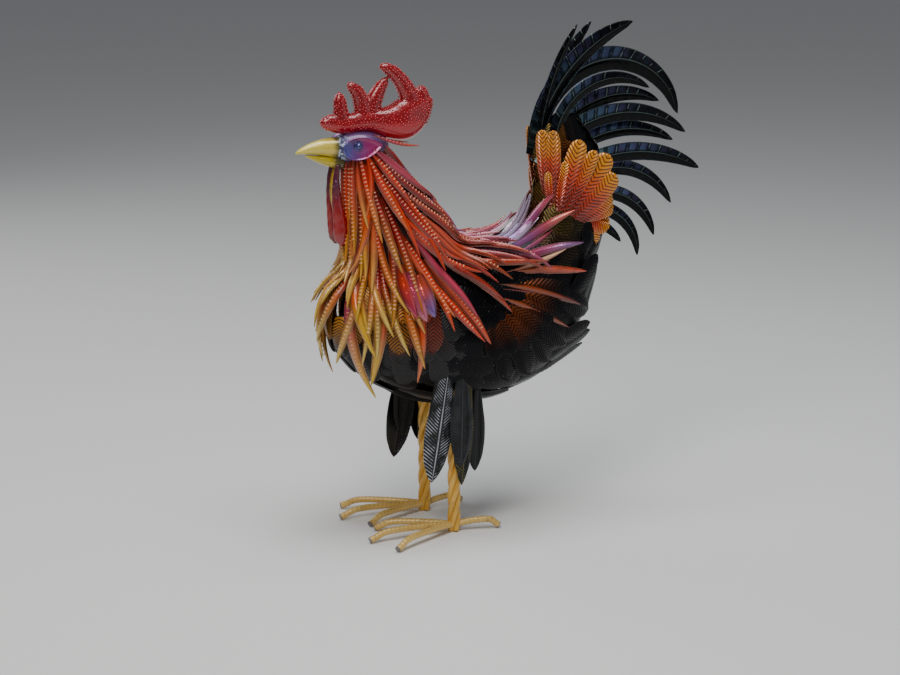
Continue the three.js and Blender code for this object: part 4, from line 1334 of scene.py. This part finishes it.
dots_board, dots_inputs = new_tree("pressed_dots", Gap=0.0027, Dot=0.00105, Above=0.468)
skin = dots_inputs["Geometry"]
inputs = {"Mesh": skin, "Distance Min": dots_inputs["Gap"], "Density Max": MOST_DOTS, "Seed": DOTS_SEED}
points = dots_board.node("GeometryNodeDistributePointsOnFaces", {"distribute_method": "POISSON"}, inputs)
_, _, z = dots_board.parts(dots_board.node("GeometryNodeInputPosition"))
dome = dots_board.node("GeometryNodeMeshIcoSphere", None, {"Radius": dots_inputs["Dot"], "Subdivisions": 1})
dome = stored(dots_board, dome, "press", (0.0, 0.0, 1.0))
above = dots_board.sum("GREATER_THAN", z, dots_inputs["Above"])
inputs = {"Points": points, "Selection": above, "Instance": dome, "Rotation": points.output("Rotation")}
domes = dots_board.node("GeometryNodeInstanceOnPoints", None, inputs)
both = dots_board.node("GeometryNodeJoinGeometry", None, [[skin, domes]])
pressed_dots = close_tree(dots_board, dots_inputs, both)
comb = grown("comb_dotted", comb_body.data, pressed_dots, comb_lacquer, sharp=80)
bpy.data.objects.remove(comb_body)
finished(comb, "comb_paint", "comb")

# Wattles. Two long hammered drops of steel hang under the beak, lacquered deep red and purple with speckles
# at the top, and one short yellow strip hangs between them.
WATTLE_APART = 9.0
WATTLE = [
    (-125, 430, 2.8, 2.4), (-127.5, 414, 3.8, 2.6), (-127, 393, 5.6, 3.2), (-124, 372, 8, 4.2),
    (-122, 356, 9.2, 4.8), (-121.5, 345, 7.6, 4.2), (-122, 339, 2.2, 2),
]


def hammered(share, turn):
    blows = np.sin(share * 40 + 2.1 * np.sin(turn * 3)) * np.sin(turn * 4 + share * 17)
    return 0.35 * blows * np.sin(math.pi * share)


def wattle_paint(board):
    _, _, z = board.spot()
    colour = board.mix(board.noise(50.0), "780004", "a80408")
    upper = board.within(z, 0.372, 0.41)
    colour = board.mix(upper * 0.8, colour, "3c1830")
    speckle = board.within(board.noise(330.0, 3.0), 0.6, 0.66) * upper
    return board.mix(speckle * 0.8, colour, "8a6aa0")


wattle_lacquer = lacquer("wattle_lacquer", wattle_paint, roughness=0.2, metallic=0.1, coat=0.9, chips=0.76)
for side_name, hand in HANDS:
    wattle = lofted(f"wattle_{side_name}_drop", WATTLE, 48, 20, y=-hand * WATTLE_APART, dent=hammered)
    outward(wattle.data)
    finished(wattle, "comb_paint", f"wattle_{side_name}", material=wattle_lacquer)
THROAT = np.array([(-126, 0, 428), (-128.5, 0, 412), (-129.5, 0, 396), (-128, 0, 377)], float)
path = smooth_rows(THROAT, np.linspace(0, 1, 9))
out = np.broadcast_to((0.0, -1.0, 0.0), path.shape)
throat_strip = strips("throat_strip", (path[None], out[None]), 5.5, YELLOW, STRAW, hackle_lacquer,
                      Ribs=8, Crease=0.0014)
finished(throat_strip, "hackle_paint")

# Legs. Four round bars are twisted together for each leg and painted yellow-orange. Their lower ends are sawn
# flat and stand on the ground.
LEG_APART = 43.0
LEG_STRANDS = 4
STRAND_TURN = 4.3
STRAND_RADIUS = 3.3
LEG_PITCH = 95.0
LEG_FOOT = 1.2
LEG_TOP = 182.0


def bars_tree():
    """Round bars along the host's lines, with slanted cross ribs every Rib_gap if Rib_height is over 0."""
    board, given = new_tree(
        "round_bars", Radius=0.004, Sides=14, Step=0.0012, Rib_gap=0.0052, Rib_height=0.0, Lean=0.35,
    )
    _, curves = midribs(board, given)
    inputs = {"Curve": curves, "Length": given["Step"]}
    curves = board.node("GeometryNodeResampleCurve", {"mode": "LENGTH"}, inputs)
    run = board.node("GeometryNodeSplineParameter", output="Length")
    curves = stored(board, curves, "run", run, "FLOAT")
    inputs = {"Resolution": given["Sides"], "Radius": given["Radius"]}
    ring = board.node("GeometryNodeCurvePrimitiveCircle", {"mode": "RADIUS"}, inputs)
    turn = board.node("GeometryNodeSplineParameter", output="Factor")
    ring = stored(board, ring, "turn", turn, "FLOAT")
    inputs = {"Curve": curves, "Profile Curve": ring, "Fill Caps": True}
    bars = board.node("GeometryNodeCurveToMesh", None, inputs)
    angle = named(board, "turn", "FLOAT") * (2 * math.pi)
    lean = abs(board.sum("SINE", angle)) * given["Lean"]
    turns = board.sum("DIVIDE", named(board, "run", "FLOAT"), given["Rib_gap"])
    phase = board.sum("FRACT", turns + lean) - 0.5
    cross = board.sum("MAXIMUM", 1 - abs(phase) * 3.2, 0)
    length_rib = board.sum("MAXIMUM", abs(board.sum("COSINE", angle)) - 0.96, 0) * 25
    high = board.sum("MAXIMUM", cross * (1 - length_rib), length_rib * 0.8)
    press = board.node("ShaderNodeCombineXYZ", None, [named(board, "share", "FLOAT"), 0, high])
    bars = stored(board, bars, "press", press)
    move = board.scaled(board.node("GeometryNodeInputNormal"), high * given["Rib_height"])
    bars = board.node("GeometryNodeSetPosition", None, {"Geometry": bars, "Offset": move})
    return close_tree(board, given, bars)


round_bars = bars_tree()


def bar_paint(low, high, groove_shade, cut):
    def paint(board):
        reach, _, ridge = board.pressing()
        colour = board.mix(board.noise(50.0, 4.0), low, high)
        # Painted shade: darker in the grooves between the ribs.
        colour = board.mix((1 - board.within(ridge, 0.1, 0.6)) * groove_shade, colour, "6a4410")
        sawn = board.within(reach + board.noise(200.0) * 0.02, cut, cut + 0.015)
        return board.mix(sawn, colour, BARE_STEEL)

    return paint


leg_lacquer = lacquer("leg_lacquer", bar_paint("cc8c20", "f0c45a", 0.0, 1.5), roughness=0.32, coat=0.4,
                      grime=0.4)
toe_lacquer = lacquer("toe_lacquer", bar_paint("cc9c3c", "f4d484", 0.24, 0.955), roughness=0.38, coat=0.3,
                      grime=0.4)


def bars(name, paths, radius, material, **sizes):
    """Bars along paths. What would reach under the floor is pressed flat on it."""
    paths = np.asarray(paths)
    host = host_mesh(f"{name}_lines", paths, paths, {})
    made = grown(name, host, round_bars, material, Radius=radius * MM, **sizes)
    for vertex in made.data.vertices:
        vertex.co.z = max(vertex.co.z, 0.0)
    return made


for side_name, hand in HANDS:
    z = np.linspace(LEG_FOOT, LEG_TOP, 60)
    strands = []
    for k in range(LEG_STRANDS):
        turn = (k / LEG_STRANDS + z / LEG_PITCH) * 2 * math.pi
        y = -hand * LEG_APART + STRAND_TURN * np.sin(turn)
        strands.append(np.stack([STRAND_TURN * np.cos(turn), y, z], -1))
    leg = bars(f"leg_{side_name}_strands", strands, STRAND_RADIUS, leg_lacquer, Step=0.003)
    finished(leg, "leg_paint", f"leg_{side_name}")

# Toes. Lengths of ribbed steel bar are welded to the foot of each leg, bent down to the ground, painted like
# the legs and left bare where they were sawn off.
BAR_RADIUS = 3.6
RIB_HEIGHT = 0.4
TOE_START = 7.7
# Turn from straight back and length.
TOES = {"middle": (182, 108), "inner": (157, 93), "outer": (207, 102), "back": (-12, 54)}
TOE_SHARES = np.array((0, 0.3, 0.75, 0.92, 0.985))
TOE_HEIGHTS = np.array((8.5, 11, 11.5, 6, 3.8))
for side_name, hand in HANDS:
    side = -hand
    for toe_name, (turn, length) in TOES.items():
        angle = math.radians(turn)
        reach = TOE_START - 4 + (length - TOE_START + 4) * TOE_SHARES
        y = side * LEG_APART - side * reach * math.sin(angle)
        path = np.stack([reach * math.cos(angle), y, TOE_HEIGHTS], -1)
        toe = bars(f"toe_{toe_name}_{side_name}", [path], BAR_RADIUS, toe_lacquer, Rib_height=RIB_HEIGHT * MM)
        finished(toe, "toe_paint", f"{toe_name}_toe_{side_name}")

# Thigh plates. Slim leaves pressed from sheet hang from the belly beside each leg, lacquered black with
# silver left on the barbs and the midrib.
def thigh_paint(board):
    _, across, ridge = board.pressing()
    off = abs(across)
    patches = board.within(board.noise(60.0), 0.38, 0.62)
    silver = board.within(ridge, 0.5, 0.92) * board.within(off, 0.14, 0.26) * patches
    silver = silver + (1 - board.within(off, 0.02, 0.08)) * 0.7
    return board.mix(silver * 0.85, "060607", board.attribute("tip_paint"))


thigh_lacquer = lacquer("thigh_lacquer", thigh_paint, roughness=0.3, metallic=0.4, coat=0.2)
# The right side's plates, on the far side, get duller and darker colours than the left: painted shade.
THIGH_PAINTS = {
    "left": [tint(code) for code in ("ccd0dc", "44484e", "8a8234", "24262a", "3c3c2a", "2c2e32", "40361c")],
    "right": [tint(code) for code in ("4c4630", "3a3a32", "4a4020", "2c2e32", "40381e", "34363a", "4a3c1c")],
}
thigh_leaves = plate_tree("thigh_leaves", [
    (0, 0.45), (0.25, 0.76), (0.52, 1), (0.74, 0.88), (0.9, 0.52), (0.97, 0.22), (1, 0),
])
# Root x and z, tip x and z, width.
THIGH_PLATES = [
    (-14, 190, -34, 66, 34), (4, 188, 0, 82, 28), (12, 182, 4, 58, 22), (26, 172, 22, 72, 24),
    (-12, 186, -24, 92, 20), (14, 178, 2, 70, 20), (-22, 188, -30, 100, 18),
]
for side_name, hand in HANDS:
    side = -hand
    rows = np.array(THIGH_PLATES, float)
    number = np.arange(len(rows))
    inside = np.stack([rows[:, 0], np.zeros(len(rows)), rows[:, 1]], -1)
    roots = over_shell(inside, np.broadcast_to((0.0, side, 0.0), inside.shape), SEAT)
    step = np.where(number > 3, -2.0, np.where(number % 2, 5.0, 1.0))
    ends = np.stack([rows[:, 2], roots[:, 1] + side * step, rows[:, 3]], -1)
    laid = straight(roots, ends, np.broadcast_to((0.0, side, 0.0), roots.shape))
    silver = np.array(THIGH_PAINTS[side_name])
    wide = rows[:, 4]
    thigh = pressed(f"thigh_leaves_{side_name}", laid, wide, silver, silver, thigh_leaves, thigh_lacquer,
                    Ribs=34, Across=9, Rib_height=0.0008, Crease=0.0026, Edge_drop=0.0006, Slant=-0.11)
    finished(thigh, "black_paint", f"thigh_plates_{side_name}")
